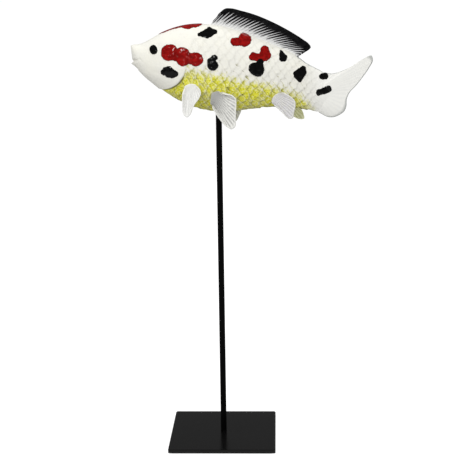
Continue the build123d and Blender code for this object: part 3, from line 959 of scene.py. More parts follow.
@dataclass(frozen=True)
class PaperSweep:
    """White studio floor that keeps the object's shadow."""

    name: str = "studio_white"
    colour: Colour = (0.48, 0.48, 0.48, 1)
    roughness: float = 0.9
    sheen: float = 0.0
    lift: float = 0.74

    def material(self) -> bpy.types.Material:
        """Make the material.

        Returns:
            The finished material.
        """
        material, wiring, shader = start_material(self.name)
        shader.inputs["Base Color"].default_value = self.colour
        shader.inputs["Roughness"].default_value = self.roughness
        shader.inputs["Specular IOR Level"].default_value = self.sheen
        shader.inputs["Emission Color"].default_value = WHITE
        seen = wiring.add("ShaderNodeLightPath").outputs["Is Camera Ray"]
        wiring.feed(shader.inputs["Emission Strength"], wiring.math("MULTIPLY", seen, self.lift))
        return material


@dataclass
class ScaleTree:
    """Geometry tree that raises overlapping rows of scales and thick enamel on the skin.

    Spans are in lengths of a scale from its root, which ends at 1.
    """

    rows_per_scale: float = 2.0
    stagger_share: float = 0.5
    drift_detail: float = 1.0
    buried_share: float = 0.65
    rim_span: Pair = (0.84, 0.97)
    lip_span: Pair = (1.0, 1.26)
    deep_span: Pair = (0.05, 0.65)
    deep_shares: Pair = (0.55, 1.0)

    def __post_init__(self) -> None:
        """Build the tree and the group for one row of scales."""
        self.layer = self._layer()
        self.tree = self._tree()

    def _layer(self) -> bpy.types.NodeTree:
        """Make the group for one row of scales.

        Returns:
            A group that tells how far a point lies across its scale, and a number drawn for that scale.
        """
        wiring, given = new_tree(
            "scale_row", "GeometryNodeTree",
            {"Along": "Float", "Around": "Float", "Rows Ahead": "Float", "Edge Reach": "Float",
             "Edge Spread": "Float", "Jitter": "Float"},
            {"Reach": "Float", "Chance": "Float"},
        )
        column = wiring.math("FLOOR", wiring.math("MULTIPLY", given["Along"], self.rows_per_scale))
        column = wiring.math("SUBTRACT", column, given["Rows Ahead"])
        behind = wiring.math("MULTIPLY_ADD", column, -1 / self.rows_per_scale, given["Along"])
        every_other = wiring.math("FLOORED_MODULO", column, 2.0)
        stagger = wiring.math("MULTIPLY", every_other, self.stagger_share)
        around = wiring.math("ADD", given["Around"], stagger)
        beside = wiring.swing(wiring.math("FRACT", around))
        cell = wiring.add("ShaderNodeCombineXYZ", {"X": column, "Y": wiring.math("FLOOR", around)})
        drawn = wiring.add("ShaderNodeTexWhiteNoise", {"Vector": cell.outputs[0]}, noise_dimensions="2D")
        chance = drawn.outputs["Value"]
        behind = wiring.math("MULTIPLY_ADD", chance, given["Jitter"], behind)
        long = wiring.math("DIVIDE", behind, given["Edge Reach"])
        wide = wiring.math("DIVIDE", beside, given["Edge Spread"])
        squares = wiring.math("MULTIPLY_ADD", long, long, wiring.math("MULTIPLY", wide, wide))
        wiring.add("NodeGroupOutput", {"Reach": wiring.math("SQRT", squares), "Chance": chance})
        return wiring.tree

    def _tree(self) -> bpy.types.NodeTree:
        """Make the whole tree.

        Returns:
            A tree that stores the rims, pits and tints of the scales on the skin and raises it.
        """
        wiring, given = new_tree(
            "koi_scales", "GeometryNodeTree",
            {"Geometry": "Geometry", "Edge Reach": "Float", "Edge Spread": "Float", "Edge Blur": "Float",
             "Jitter": "Float", "Lift": "Float", "Wander": "Float", "Wander Size": "Float",
             "Enamel": "Float", "Material": "Material"},
            {"Geometry": "Geometry"},
        )
        near, far = self._rows(wiring, given)
        over = wiring.rest(wiring.ease(far["Reach"], wiring.rest(given["Edge Blur"]), 1.0))
        reach = wiring.blend(over, near["Reach"], far["Reach"])
        chance = wiring.blend(wiring.math("GREATER_THAN", over, 0.5), near["Chance"], far["Chance"])
        scaled, enamel = wiring.stored("scaled"), wiring.enamel()
        bare = wiring.math("MULTIPLY_ADD", enamel, -self.buried_share, 1.0)
        bare = wiring.math("MULTIPLY", scaled, bare)
        raised = wiring.math("MULTIPLY", wiring.math("MULTIPLY", reach, reach), given["Lift"])
        raised = wiring.math("MULTIPLY", wiring.math("SUBTRACT", raised, given["Lift"]), bare)
        height = wiring.math("MULTIPLY_ADD", enamel, given["Enamel"], raised)
        rim = wiring.math("MULTIPLY", wiring.ease(reach, *self.rim_span), scaled)
        # painted shade: the pit mask lies just beyond the lip of the scale ahead, where that scale's shadow
        # falls
        beyond = wiring.rest(wiring.ease(far["Reach"], *self.lip_span))
        lip = wiring.math("MULTIPLY", beyond, wiring.rest(over))
        deep = wiring.rest(wiring.ease(reach, *self.deep_span))
        pit = wiring.math("MULTIPLY", lip, wiring.blend(deep, *self.deep_shares))
        pit = wiring.math("MULTIPLY", pit, scaled)
        geometry = given["Geometry"]
        for name, value in (("scale_rim", rim), ("scale_shade", pit), ("scale_tint", chance)):
            geometry = wiring.store(geometry, name, value)
        wiring.finish_geometry(geometry, height, given["Material"])
        return wiring.tree

    def _rows(self, wiring: Wiring, given: Any) -> list[Any]:
        """Place the two rows of scales that can cover a point.

        Args:
            wiring: The tree's wiring.
            given: The tree's inputs.

        Returns:
            The outputs of the row that the point lies in and of the row ahead, which lies over it.
        """
        fine = wiring.math("DIVIDE", 1.0, given["Wander Size"])
        drift = wiring.add("ShaderNodeTexNoise", {"Scale": fine, "Detail": self.drift_detail})
        split = wiring.add("ShaderNodeSeparateXYZ", {"Vector": drift.outputs["Color"]})
        shared = {key: given[key] for key in ("Edge Reach", "Edge Spread", "Jitter")}
        for label, name, noise in zip(("Along", "Around"), ("scale_along", "scale_around"), split.outputs):
            shift = wiring.math("MULTIPLY", wiring.swing(noise), given["Wander"])
            shared[label] = wiring.math("ADD", wiring.stored(name), shift)
        rows = [{**shared, "Rows Ahead": ahead} for ahead in (0.0, 1.0)]
        return [wiring.add("GeometryNodeGroup", row, node_tree=self.layer).outputs for row in rows]


@dataclass
class RayTree:
    """Geometry tree that raises the rays of a fin."""

    drifts_per_metre: float = 90.0
    drift_detail: float = 2.0

    def __post_init__(self) -> None:
        """Build the tree."""
        wiring, given = new_tree(
            "fin_rays", "GeometryNodeTree",
            {"Geometry": "Geometry", "Ray Count": "Float", "Ray Rise": "Float", "Waver": "Float",
             "Front Skew": "Float", "Rear Skew": "Float", "Root Fade": "Float", "Edge Fade": "Float",
             "Enamel": "Float", "Material": "Material"},
            {"Geometry": "Geometry"},
        )
        along, across = wiring.stored("ray_along"), wiring.stored("ray_across")
        drift = wiring.add(
            "ShaderNodeTexNoise", {"Scale": self.drifts_per_metre, "Detail": self.drift_detail}
        )
        waver = wiring.math("MULTIPLY", wiring.swing(drift.outputs["Fac"]), given["Waver"])
        skew = wiring.blend(across, given["Front Skew"], given["Rear Skew"])
        leaning = wiring.math("MULTIPLY_ADD", wiring.rest(along), skew, across)
        turn = wiring.math("MULTIPLY_ADD", leaning, given["Ray Count"], waver)
        wave = wiring.math("COSINE", wiring.math("MULTIPLY", turn, FULL_TURN))
        crest = wiring.math("MULTIPLY_ADD", wave, 0.5, 0.5)
        root = wiring.ease(along, 0.0, given["Root Fade"])
        fade = wiring.math("MULTIPLY", root, wiring.ease(wiring.rest(along), 0.0, given["Edge Fade"]))
        sunk = wiring.math("MULTIPLY", wiring.math("SUBTRACT", crest, 1.0), fade)
        coat = wiring.math("MULTIPLY", wiring.enamel(), given["Enamel"])
        height = wiring.math("MULTIPLY_ADD", sunk, given["Ray Rise"], coat)
        carved = wiring.store(given["Geometry"], "ray_crest", wiring.math("ADD", sunk, 1.0))
        carved = wiring.store(carved, "ray_turn", turn)
        wiring.finish_geometry(carved, height, given["Material"])
        self.tree = wiring.tree


class Edge(Enum):
    """The two edges of the koi seen from the side, by their column among its sections."""

    BACK = 1
    KEEL = 2


@dataclass(frozen=True)
class KoiHead:
    """What is carved into the loft of the head: mouth, lips, gill covers and eyes.

    Places are along the koi and above the table. The points of the mouth's line are in millimetres.
    """

    mouth_line: Points = ((-118.0, 538.4), (-104.5, 543.4), (-97.0, 536.0))
    mouth_depth: float = 2.4 * MM
    mouth_width: float = 1.7 * MM
    mouth_fade_offsets: Pair = (3.0 * MM, 1.0 * MM)
    crease_share: float = 0.25
    lip_offset_share: float = 2.2
    lip_rise: float = 0.35 * MM
    lip_height: float = 20.0 * MM
    lip_slant: float = 2.2 * MM
    lip_run: Pair = (2.0 * MM, 11.0 * MM)
    gill_centre: Pair = (-75.0 * MM, 537.0 * MM)
    gill_radius: float = 34.3 * MM
    gill_step: float = 1.8 * MM
    gill_edge: float = 0.6 * MM
    gill_fade: float = 8.0 * MM
    gill_rear_share: float = 0.5
    gill_under_share: float = 0.6
    eye_place: Pair = (-85.0 * MM, 555.9 * MM)
    eye_radius: float = 6.4 * MM
    eye_rise: float = 1.5 * MM

    def gill_gap(self, x: np.ndarray, z: np.ndarray) -> np.ndarray:
        """Return how far places lie outside the gill cover, below zero on it."""
        return np.hypot(x - self.gill_centre[0], z - self.gill_centre[1]) - self.gill_radius

    def relief(self, points: np.ndarray) -> np.ndarray:
        """Tell how far the head stands off the plain loft.

        Args:
            points: Points on the loft.

        Returns:
            A height for each point.
        """
        x, z = points[:, 0], points[:, 2]
        return self._mouth(x, z) + self._gill(x, z) + self._eye(x, z)

    def _mouth(self, x: np.ndarray, z: np.ndarray) -> np.ndarray:
        """Carve the mouth and its lips.

        Args:
            x: Places along the koi.
            z: Places above the table.

        Returns:
            A height for each place.
        """
        tip, corner, crease = np.array(self.mouth_line) * MM
        level = np.interp(x, *np.array([tip, corner, crease]).T)
        fade_start, fade_end = self.mouth_fade_offsets
        open_share = 1 - smooth_step(tip[0] + fade_start, corner[0] + fade_end, x)
        crease_share = self.crease_share * (1 - smooth_step(corner[0], crease[0], x))
        away = (z - level) / self.mouth_width
        rise = -np.exp(-away**2) * self.mouth_depth * np.maximum(open_share, crease_share)
        above = np.clip((tip[1] + self.lip_height - z) / self.lip_height, 0, 1) * smooth_step(-1, 1, away)
        front = 1 - smooth_step(tip[0] + self.lip_run[0], tip[0] + self.lip_run[1], x)
        rise -= self.lip_slant * above * front
        for lip in (-self.lip_offset_share, self.lip_offset_share):
            rise += np.exp(-((away - lip) ** 2)) * self.lip_rise * open_share
        return rise

    def _gill(self, x: np.ndarray, z: np.ndarray) -> np.ndarray:
        """Raise the gill covers, which fade out towards the front and the top.

        Args:
            x: Places along the koi.
            z: Places above the table.

        Returns:
            A height for each place.
        """
        across, up = x - self.gill_centre[0], z - self.gill_centre[1]
        behind = smooth_step(-self.gill_radius, self.gill_radius * self.gill_rear_share, across)
        under = smooth_step(0, -self.gill_radius * self.gill_under_share, up)
        low = 1 - smooth_step(-self.gill_fade, self.gill_fade, up)
        cover = 1 - smooth_step(-self.gill_edge, self.gill_edge, self.gill_gap(x, z))
        return self.gill_step * cover * np.maximum(behind, under) * low

    def _eye(self, x: np.ndarray, z: np.ndarray) -> np.ndarray:
        """Return the height of the domed eyes at places along the koi and above the table."""
        away = np.hypot(x - self.eye_place[0], z - self.eye_place[1]) / self.eye_radius
        return self.eye_rise * np.sqrt(np.clip(1 - away**2, 0, None))


@dataclass(frozen=True)
class SkinZones:
    """Where the skin has scales, where its ground colours change and where shade is painted on it.

    Spans are eased in between their two ends. The points of the lines are in millimetres: those of the neck
    go up and then along the koi, those of the belly along it and then up.
    """

    neck_line: Points = ((480.0, -78.0), (530.0, -50.0), (560.0, -38.0), (590.0, -22.0))
    neck_softness: float = 5.0 * MM
    cover_margin: float = 1.5 * MM
    back_span: Pair = (-10.0 * MM, 45.0 * MM)
    back_flat_share: float = 0.55
    scale_end_span: Pair = (126.0 * MM, 142.0 * MM)
    throat_span: Pair = (-74.0 * MM, -46.0 * MM)
    throat_share: float = 0.35
    belly_line: Points = (
        (-80.0, 534.0), (-43.0, 531.0), (-2.0, 521.0), (31.0, 512.0), (71.0, 506.0), (111.0, 489.0),
        (130.0, 474.0),
    )
    belly_softness: float = 13.0 * MM
    belly_front_span: Pair = (-84.0 * MM, -74.0 * MM)
    belly_rear_span: Pair = (128.0 * MM, 138.0 * MM)
    cover_softness: float = 0.4 * MM
    gill_line_start: Pair = (-0.8 * MM, 0.4 * MM)
    gill_line_end: Pair = (0.6 * MM, 2.4 * MM)
    gill_line_top: Pair = (-23.0 * MM, -9.0 * MM)
    gill_line_front: Pair = (-86.0 * MM, -58.0 * MM)
    tail_white_span: Pair = (112.0 * MM, 142.0 * MM)
    keel_span: Pair = (0.5 * MM, 3.0 * MM)
    ridge_span: Pair = (0.5 * MM, 1.7 * MM)
    ridge_head_share: float = 0.22
    ridge_fade: float = 6.0 * MM
    fin_foot_share: float = 0.866

    def masks(self, body: "KoiBody", points: np.ndarray) -> dict[str, np.ndarray]:
        """Tell how far each point belongs to each zone.

        Args:
            body: The koi's skin.
            points: Points on the plain loft.

        Returns:
            Numbers from 0 to 1, by the attribute's name.
        """
        x, z = points[:, 0], points[:, 2]
        gap = body.head.gill_gap(x, z)
        level = np.interp(x, *(np.array(self.belly_line) * MM).T)
        belly = np.clip(0.5 + (level - z) / (2 * self.belly_softness), 0, 1)
        front = smooth_step(-self.cover_softness, self.cover_softness, gap)
        front = front * smooth_step(*self.belly_front_span, x)
        # painted shadow just outside the lower edge of the gill cover
        line = smooth_step(*self.gill_line_start, gap) * (1 - smooth_step(*self.gill_line_end, gap))
        line = line * (1 - smooth_step(*self.gill_line_top, z - body.head.gill_centre[1]))
        # painted shade along the ridge of the back, which darkens its outline
        ridge = 1 - smooth_step(*self.ridge_span, body.level(Edge.BACK, x) - z)
        return {
            "scaled": self._scaled(x, z, gap, z - level),
            "belly": belly * front * (1 - smooth_step(*self.belly_rear_span, x)),
            "gill_shadow": line * smooth_step(*self.gill_line_front, x),
            "tail_end": smooth_step(*self.tail_white_span, x),
            # painted shade along the keel
            "keel_shade": 1 - smooth_step(*self.keel_span, z - body.level(Edge.KEEL, x)),
            "ridge_shade": ridge * self._lined(x),
        }

    def _scaled(self, x: np.ndarray, z: np.ndarray, gap: np.ndarray, above: np.ndarray) -> np.ndarray:
        """Tell how strongly the scales stand out.

        Args:
            x: Places along the koi.
            z: Places above the table.
            gap: How far the places lie outside the gill cover.
            above: How far they lie above the belly's line.

        Returns:
            A number from 0 to 1 for each place.
        """
        neck = np.interp(z, *(np.array(self.neck_line) * MM).T)
        behind = smooth_step(0, self.neck_softness, x - neck) * smooth_step(0, self.cover_margin, gap)
        upper = 1 - self.back_flat_share * smooth_step(*self.back_span, above)
        tail = 1 - smooth_step(*self.scale_end_span, x)
        throat = self.throat_share + (1 - self.throat_share) * smooth_step(*self.throat_span, x)
        return behind * upper * tail * throat

    def _lined(self, x: np.ndarray) -> np.ndarray:
        """Tell how far painted shade lies along the ridge of the back: faintly on the head, fully behind the
        dorsal fin.

        Args:
            x: Places along the koi.

        Returns:
            A number from 0 to 1 for each place.
        """
        low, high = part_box("dorsal_fin")
        rear = low.x + self.fin_foot_share * (high.x - low.x)
        ahead = self.ridge_head_share * (1 - smooth_step(-self.ridge_fade, 0, x - low.x))
        return np.maximum(ahead, smooth_step(-self.ridge_fade, 0, x - rear))


@dataclass
class KoiBody:
    """The koi's skin: an egg-shaped loft from the snout into the tail fin, with head, scales and paint.

    The points of the scales' sizes are in millimetres, along the koi and then the length of a scale.
    """

    depth: float = 118.6 * MM
    half_width: float = 37.0 * MM
    widest_share: float = 0.46
    fullness: float = 0.92
    tail_fullness: float = 3.4
    tail_taper: Pair = (118 * MM, 158 * MM)
    tail_bend: float = 15.0 * MM
    rows: int = 342
    columns: int = 272
    row_bunching: float = 0.12
    scale_sizes: Points = ((-60.0, 12.8), (0.0, 12.4), (70.0, 11.4), (140.0, 9.4))
    scale_tall_share: float = 1.35
    scale_reach_share: float = 1.0
    scale_spread_share: float = 0.56
    scale_blur_share: float = 0.06
    scale_jitter_share: float = 0.22
    scale_wander_share: float = 0.75
    scale_wander_size: float = 14.0 * MM
    scale_lift: float = 1.25 * MM
    enamel_rise: float = 0.55 * MM
    socket_radius: float = 6.1 * MM
    socket_sides: int = 48
    socket_overrun: float = 12.0 * MM
    head: KoiHead = KoiHead()
    zones: SkinZones = SkinZones()
    # Along the body, then the top and bottom of the section, then its width
    station_shares: Shares = (
        (0.000, 0.762, 0.562, 0.010),
        (0.003, 0.769, 0.556, 0.150),
        (0.010, 0.774, 0.546, 0.255),
        (0.025, 0.777, 0.518, 0.365),
        (0.054, 0.786, 0.458, 0.490),
        (0.080, 0.809, 0.407, 0.570),
        (0.108, 0.842, 0.356, 0.650),
        (0.186, 0.925, 0.220, 0.838),
        (0.283, 0.986, 0.093, 0.960),
        (0.388, 0.999, 0.019, 1.000),
        (0.504, 0.965, 0.000, 0.973),
        (0.632, 0.866, 0.025, 0.878),
        (0.748, 0.763, 0.045, 0.730),
        (0.845, 0.668, 0.036, 0.568),
        (0.930, 0.536, 0.004, 0.362),
        (1.000, 0.452, -0.010, 0.168),
        (1.039, 0.392, 0.038, 0.095),
        (1.078, 0.341, 0.089, 0.055),
        (1.109, 0.299, 0.139, 0.025),
    )

    def __post_init__(self) -> None:
        """Take the koi's place and length from the two packed halves."""
        lows, highs = zip(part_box("body_left"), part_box("body_right"))
        self.snout_x = min(low.x for low in lows)
        self.length = max(high.x for high in highs) - self.snout_x
        self.belly_z = max(high.z for high in highs) - self.depth
        tail_low, tail_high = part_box("tail_fin")
        self.tail_x, self.tail_length = tail_low.x, tail_high.x - tail_low.x

    def sway(self, x: np.ndarray) -> np.ndarray:
        """Return how far the middle of the koi swings to the side at places along it."""
        return -self.tail_bend * np.clip((x - self.tail_x) / self.tail_length, 0, None) ** 2

    def sections(self, stations: np.ndarray) -> np.ndarray:
        """Read the loft's sections.

        Args:
            stations: Places along the loft, from 0 to 1.

        Returns:
            A row for each station: x, top, bottom and half width.
        """
        shares = np.array(self.station_shares)
        sizes = shares * [self.length, self.depth, self.depth, self.half_width]
        sizes += [self.snout_x, self.belly_z, self.belly_z, 0]
        reach = np.linalg.norm(np.diff(sizes[:, [0, 1, 3]], axis=0), axis=1)
        knots = np.concatenate([[0], np.cumsum(reach)])
        return smooth_rows(knots / knots[-1], sizes, stations)

    def level(self, edge: Edge, x: np.ndarray) -> np.ndarray:
        """Return the level of the back or the keel at places along the koi."""
        table = self.sections(np.linspace(0, 1, self.rows))
        return np.interp(x, table[:, 0], table[:, edge.value])

    def _grid(self) -> tuple[np.ndarray, np.ndarray]:
        """Lay out the plain loft.

        Returns:
            The loft as rows of rings, and its outward normals.
        """
        x, top, bottom, half = self.sections(bunched(self.rows, self.row_bunching)).T[:, :, None]
        turn = np.linspace(0, FULL_TURN, self.columns, endpoint=False)[None, :]
        widest = bottom + self.widest_share * (top - bottom)
        lift = np.where(np.cos(turn) > 0, top - widest, widest - bottom)
        fullness = self.fullness + (self.tail_fullness - self.fullness) * smooth_step(*self.tail_taper, x)
        y = self.sway(x) - half * np.sign(np.sin(turn)) * np.abs(np.sin(turn)) ** fullness
        z = widest + lift * np.cos(turn)
        grid = np.stack(np.broadcast_arrays(x, y, z), axis=-1)
        along = np.gradient(grid, axis=0)
        around = (np.roll(grid, -1, axis=1) - np.roll(grid, 1, axis=1)) / 2
        normals = np.cross(along, around)
        normals /= np.linalg.norm(normals, axis=-1, keepdims=True) + TINY
        outward = np.sign((normals * (grid - grid.mean(axis=1, keepdims=True))).sum())
        return grid, normals * outward

    def _scale_places(self, grid: np.ndarray) -> tuple[np.ndarray, np.ndarray]:
        """Place the points on the lattice of scales.

        Args:
            grid: The plain loft.

        Returns:
            Each point's place along the koi and around it, in scales.
        """
        sizes = np.array(self.scale_sizes) * MM
        x = grid[:, 0, 0]
        pitch = np.interp(x, sizes[:, 0], sizes[:, 1])
        along = np.concatenate([[0], np.cumsum(np.diff(x) / pitch[1:])])
        steps = np.linalg.norm(np.diff(grid, axis=1, append=grid[:, :1]), axis=-1)
        run = np.cumsum(steps, axis=1) - steps
        quarter, half = self.columns // 4, self.columns // 2
        left = run - run[:, quarter:quarter + 1]
        right = run[:, quarter + half:quarter + half + 1] - run
        tall = self.scale_tall_share * pitch[:, None]
        around = np.where(np.arange(self.columns)[None, :] <= half, left, right) / tall
        return np.broadcast_to(along[:, None], around.shape), around

    def build(self, scales: ScaleTree, material: bpy.types.Material) -> bpy.types.Object:
        """Build the skin.

        Args:
            scales: The tree that raises the scales.
            material: The koi's paint.

        Returns:
            The finished piece.
        """
        grid, normals = self._grid()
        along, around = self._scale_places(grid)
        flat, out = grid.reshape(-1, 3), normals.reshape(-1, 3)
        points = flat + out * self.head.relief(flat)[:, None]
        index = np.arange(len(flat)).reshape(self.rows, self.columns)
        after = np.roll(index, -1, axis=1)
        quads = np.stack([index[:-1], after[:-1], after[1:], index[1:]], axis=-1).reshape(-1, 4)
        faces = [tuple(quad) for quad in quads.tolist()]
        faces += [tuple(index[0, ::-1].tolist()), tuple(index[-1].tolist())]
        carried = {**painted(flat), **self.zones.masks(self, flat)}
        carried.update(scale_along=along.ravel(), scale_around=around.ravel())
        piece = Shell(points, faces, carried).to_object("koi_skin")
        drill = self._drill()
        cut = piece.modifiers.new("rod_socket", "BOOLEAN")
        cut.operation, cut.object, cut.solver = "DIFFERENCE", drill, "EXACT"
        run_tree(piece, scales.tree, {
            "Edge Reach": self.scale_reach_share, "Edge Spread": self.scale_spread_share,
            "Edge Blur": self.scale_blur_share, "Jitter": self.scale_jitter_share, "Lift": self.scale_lift,
            "Wander": self.scale_wander_share, "Wander Size": self.scale_wander_size,
            "Enamel": self.enamel_rise, "Material": material,
        })
        bpy.data.objects.remove(drill)
        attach(piece, "fish")
        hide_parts("body_left", "body_right")
        return piece

    def _drill(self) -> bpy.types.Object:
        """Make the round cutter that opens the belly for the rod's sleeve.

        Returns:
            The linked cutter.
        """
        low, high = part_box("socket_sleeve")
        turn = np.linspace(0, FULL_TURN, self.socket_sides, endpoint=False)
        ring = np.stack([np.cos(turn), np.sin(turn)], axis=1) * self.socket_radius
        levels = (low.z - self.socket_overrun, high.z)
        points = np.concatenate([np.column_stack([ring, np.full(len(ring), z)]) for z in levels])
        count = len(ring)
        sides = [(i, (i + 1) % count, count + (i + 1) % count, count + i) for i in range(count)]
        ends = [tuple(range(count))[::-1], tuple(range(count, 2 * count))]
        return Shell(points, sides + ends).to_object("socket_drill")


@dataclass
class FanBlade:
    """A thin blade whose rays run from a root line to an outer edge."""

    name: str
    root_half: float
    edge_half: float
    ray_count: float
    ray_rise: float
    steps_along: int = 46
    steps_across: int = 150
    rim: float = 1.6 * MM
    root_fade: float = 0.22
    edge_fade: float = 0.10
    waver: float = 0.5
    skew: Pair = (0.0, 0.0)
    enamel_rise: float = 0.5 * MM
    bunchings: Pair = (0.5, 0.3)
    taper_power: float = 1.6

    def shell(self, place: Callable[[np.ndarray, np.ndarray], np.ndarray]) -> Shell:
        """Build the closed blade.

        Args:
            place: Gives points of the middle of the blade from shares along and across the rays.

        Returns:
            The blade's skin with its ray places carried on it.
        """
        along, across = np.meshgrid(
            bunched(self.steps_along, self.bunchings[0]), bunched(self.steps_across, self.bunchings[1]),
            indexing="ij",
        )
        middle = place(along.ravel(), across.ravel()).reshape(*along.shape, 3)
        ray, step = np.gradient(middle, axis=0), np.gradient(middle, axis=1)
        normal = np.cross(ray, step)
        normal /= np.linalg.norm(normal, axis=-1, keepdims=True) + TINY
        half = self.edge_half + (self.root_half - self.edge_half) * (1 - along) ** self.taper_power
        half = half * self._rounding(middle)
        front, back = middle + normal * half[..., None], middle - normal * half[..., None]
        front_index = np.arange(along.size).reshape(along.shape)
        back_index = front_index.copy()
        inner = (slice(1, -1), slice(1, -1))
        back_index[inner] = along.size + np.arange(back_index[inner].size).reshape(back_index[inner].shape)
        faces = []
        for index in (front_index, back_index[:, ::-1]):
            quads = np.stack([index[:-1, :-1], index[:-1, 1:], index[1:, 1:], index[1:, :-1]], axis=-1)
            faces += [tuple(quad) for quad in quads.reshape(-1, 4).tolist()]
        points = np.concatenate([front.reshape(-1, 3), back[inner].reshape(-1, 3)])
        carried = {
            "ray_along": np.concatenate([along.ravel(), along[inner].ravel()]),
            "ray_across": np.concatenate([across.ravel(), across[inner].ravel()]),
        }
        return Shell(points, faces, {**carried, **painted(points)})

    def _rounding(self, middle: np.ndarray) -> np.ndarray:
        """Round the blade off at its rim.

        Args:
            middle: Points of the middle of the blade.

        Returns:
            The share of the full thickness at each point, zero on the rim.
        """
        share = np.ones(middle.shape[:2])
        for axis in (0, 1):
            steps = np.linalg.norm(np.diff(middle, axis=axis), axis=-1)
            pad = ((1, 0), (0, 0)) if axis == 0 else ((0, 0), (1, 0))
            run = np.pad(np.cumsum(steps, axis=axis), pad)
            left = run.max(axis=axis, keepdims=True) - run
            away = np.clip(np.minimum(run, left) / self.rim, 0, 1)
            share *= np.sqrt(1 - (1 - away) ** 2)
        return share

    def carve(self, piece: bpy.types.Object, rays: RayTree, material: bpy.types.Material) -> None:
        """Raise the rays on a blade and dress it.

        Args:
            piece: The blade.
            rays: The tree that raises the rays.
            material: The fin's paint.
        """
        run_tree(piece, rays.tree, {
            "Ray Count": self.ray_count, "Ray Rise": self.ray_rise, "Waver": self.waver,
            "Front Skew": self.skew[0], "Rear Skew": self.skew[1], "Root Fade": self.root_fade,
            "Edge Fade": self.edge_fade, "Enamel": self.enamel_rise, "Material": material,
        })


def ruled(root: np.ndarray, edge: np.ndarray, along: np.ndarray, across: np.ndarray) -> np.ndarray:
    """Lay points between a root line and an edge line.

    Args:
        root: Points of the root line.
        edge: Points of the edge line.
        along: Shares along the rays, from the root to the edge.
        across: Shares across the rays, along both lines.

    Returns:
        One point for each pair of shares.
    """
    places, index = np.unique(across, return_inverse=True)
    start, end = smooth_line(root, places)[index], smooth_line(edge, places)[index]
    return start + (end - start) * along[:, None]


@dataclass
class DorsalFin:
    """The tall fin along the back."""

    rise: float = 62.0 * MM
    sink: float = 3.0 * MM
    blade: FanBlade = field(default_factory=lambda: FanBlade(
        "dorsal_blade", root_half=3.4 * MM, edge_half=1.2 * MM, ray_count=27, ray_rise=0.8 * MM,
        steps_along=60, steps_across=420, rim=1.4 * MM, root_fade=0.30, edge_fade=0.05, waver=0.18,
        skew=(0.07, 0.16),
    ))
    # Foot of a ray along the fin, then the ray's end along it and up it
    ray_shares: Shares = (
        (-0.016, 0.085, 0.885),
        (0.020, 0.140, 0.982),
        (0.070, 0.201, 1.000),
        (0.150, 0.320, 0.940),
        (0.280, 0.465, 0.842),
        (0.430, 0.640, 0.675),
        (0.580, 0.805, 0.480),
        (0.710, 0.930, 0.305),
        (0.780, 0.978, 0.226),
        (0.812, 0.999, 0.165),
        (0.832, 0.998, 0.122),
        (0.846, 0.972, 0.070),
        (0.857, 0.928, 0.024),
        (0.866, 0.872, -0.008),
    )

    def build(self, body: KoiBody, rays: RayTree, material: bpy.types.Material) -> bpy.types.Object:
        """Build the fin on the ridge of the back.

        Args:
            body: The koi's skin.
            rays: The tree that raises the rays.
            material: The fin's paint.

        Returns:
            The finished piece.
        """
        low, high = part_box("dorsal_fin")
        length = high.x - low.x
        shares = np.array(self.ray_shares)
        knots = (shares[:, 0] - shares[0, 0]) / (shares[-1, 0] - shares[0, 0])

        def place(along: np.ndarray, across: np.ndarray) -> np.ndarray:
            """Place points of the middle of the fin.

            Args:
                along: Shares along the rays, from the root to the edge.
                across: Shares across the rays.

            Returns:
                One point for each pair of shares.
            """
            foot_share, end_share, up_share = smooth_rows(knots, shares, across).T
            foot_x = low.x + foot_share * length
            foot_z = body.level(Edge.BACK, foot_x) - self.sink
            end_x = low.x + end_share * length
            end_z = high.z - (1 - up_share) * self.rise
            x = foot_x + (end_x - foot_x) * along
            z = foot_z + (end_z - foot_z) * along
            return np.stack([x, np.zeros_like(x), z], axis=1)

        piece = self.blade.shell(place).to_object(self.blade.name)
        self.blade.carve(piece, rays, material)
        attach(piece, "fish")
        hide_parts("dorsal_fin")
        return piece


@dataclass
class TailFin:
    """The forked tail, bent towards the koi's left."""

    curl: float = 5.0 * MM
    curl_power: int = 3
    curl_span: Pair = (0.0, 0.30)
    blade: FanBlade = field(default_factory=lambda: FanBlade(
        "tail_blade", root_half=5.0 * MM, edge_half=1.7 * MM, ray_count=26, ray_rise=0.04 * MM,
        steps_along=80, steps_across=340, rim=2.4 * MM, root_fade=0.65, edge_fade=0.08, waver=0.6,
    ))
    # Along the fin and up it: its root from the foot up, then its edge from the foot round both lobes
    root_shares: Shares = ((0.10, 0.36), (0.12, 0.42), (0.10, 0.48))
    edge_shares: Shares = (
        (0.141, 0.089), (0.212, 0.045), (0.299, 0.004), (0.388, 0.001), (0.488, 0.044), (0.559, 0.106),
        (0.588, 0.188), (0.593, 0.294), (0.624, 0.382), (0.745, 0.527), (0.847, 0.665), (0.935, 0.800),
        (0.992, 0.941), (0.971, 0.998), (0.882, 0.965), (0.749, 0.879), (0.624, 0.802), (0.494, 0.744),
        (0.365, 0.709), (0.224, 0.729),
    )

    def build(self, body: KoiBody, rays: RayTree, material: bpy.types.Material) -> bpy.types.Object:
        """Build the fin.

        Args:
            body: The koi's skin.
            rays: The tree that raises the rays.
            material: The fin's paint.

        Returns:
            The finished piece.
        """
        low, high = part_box("tail_fin")
        corner, size = np.array([low.x, low.z]), np.array([high.x - low.x, high.z - low.z])
        root = corner + np.array(self.root_shares) * size
        edge = corner + np.array(self.edge_shares) * size

        def place(along: np.ndarray, across: np.ndarray) -> np.ndarray:
            """Place points of the middle of the fin.

            Args:
                along: Shares along the rays, from the root to the edge.
                across: Shares across the rays.

            Returns:
                One point for each pair of shares.
            """
            x, z = ruled(root, edge, along, across).T
            lobe = 1 - smooth_step(*self.curl_span, across)
            y = body.sway(x) + self.curl * along**self.curl_power * lobe
            return np.stack([x, y, z], axis=1)

        piece = self.blade.shell(place).to_object(self.blade.name)
        self.blade.carve(piece, rays, material)
        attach(piece, "fish")
        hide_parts("tail_fin")
        return piece


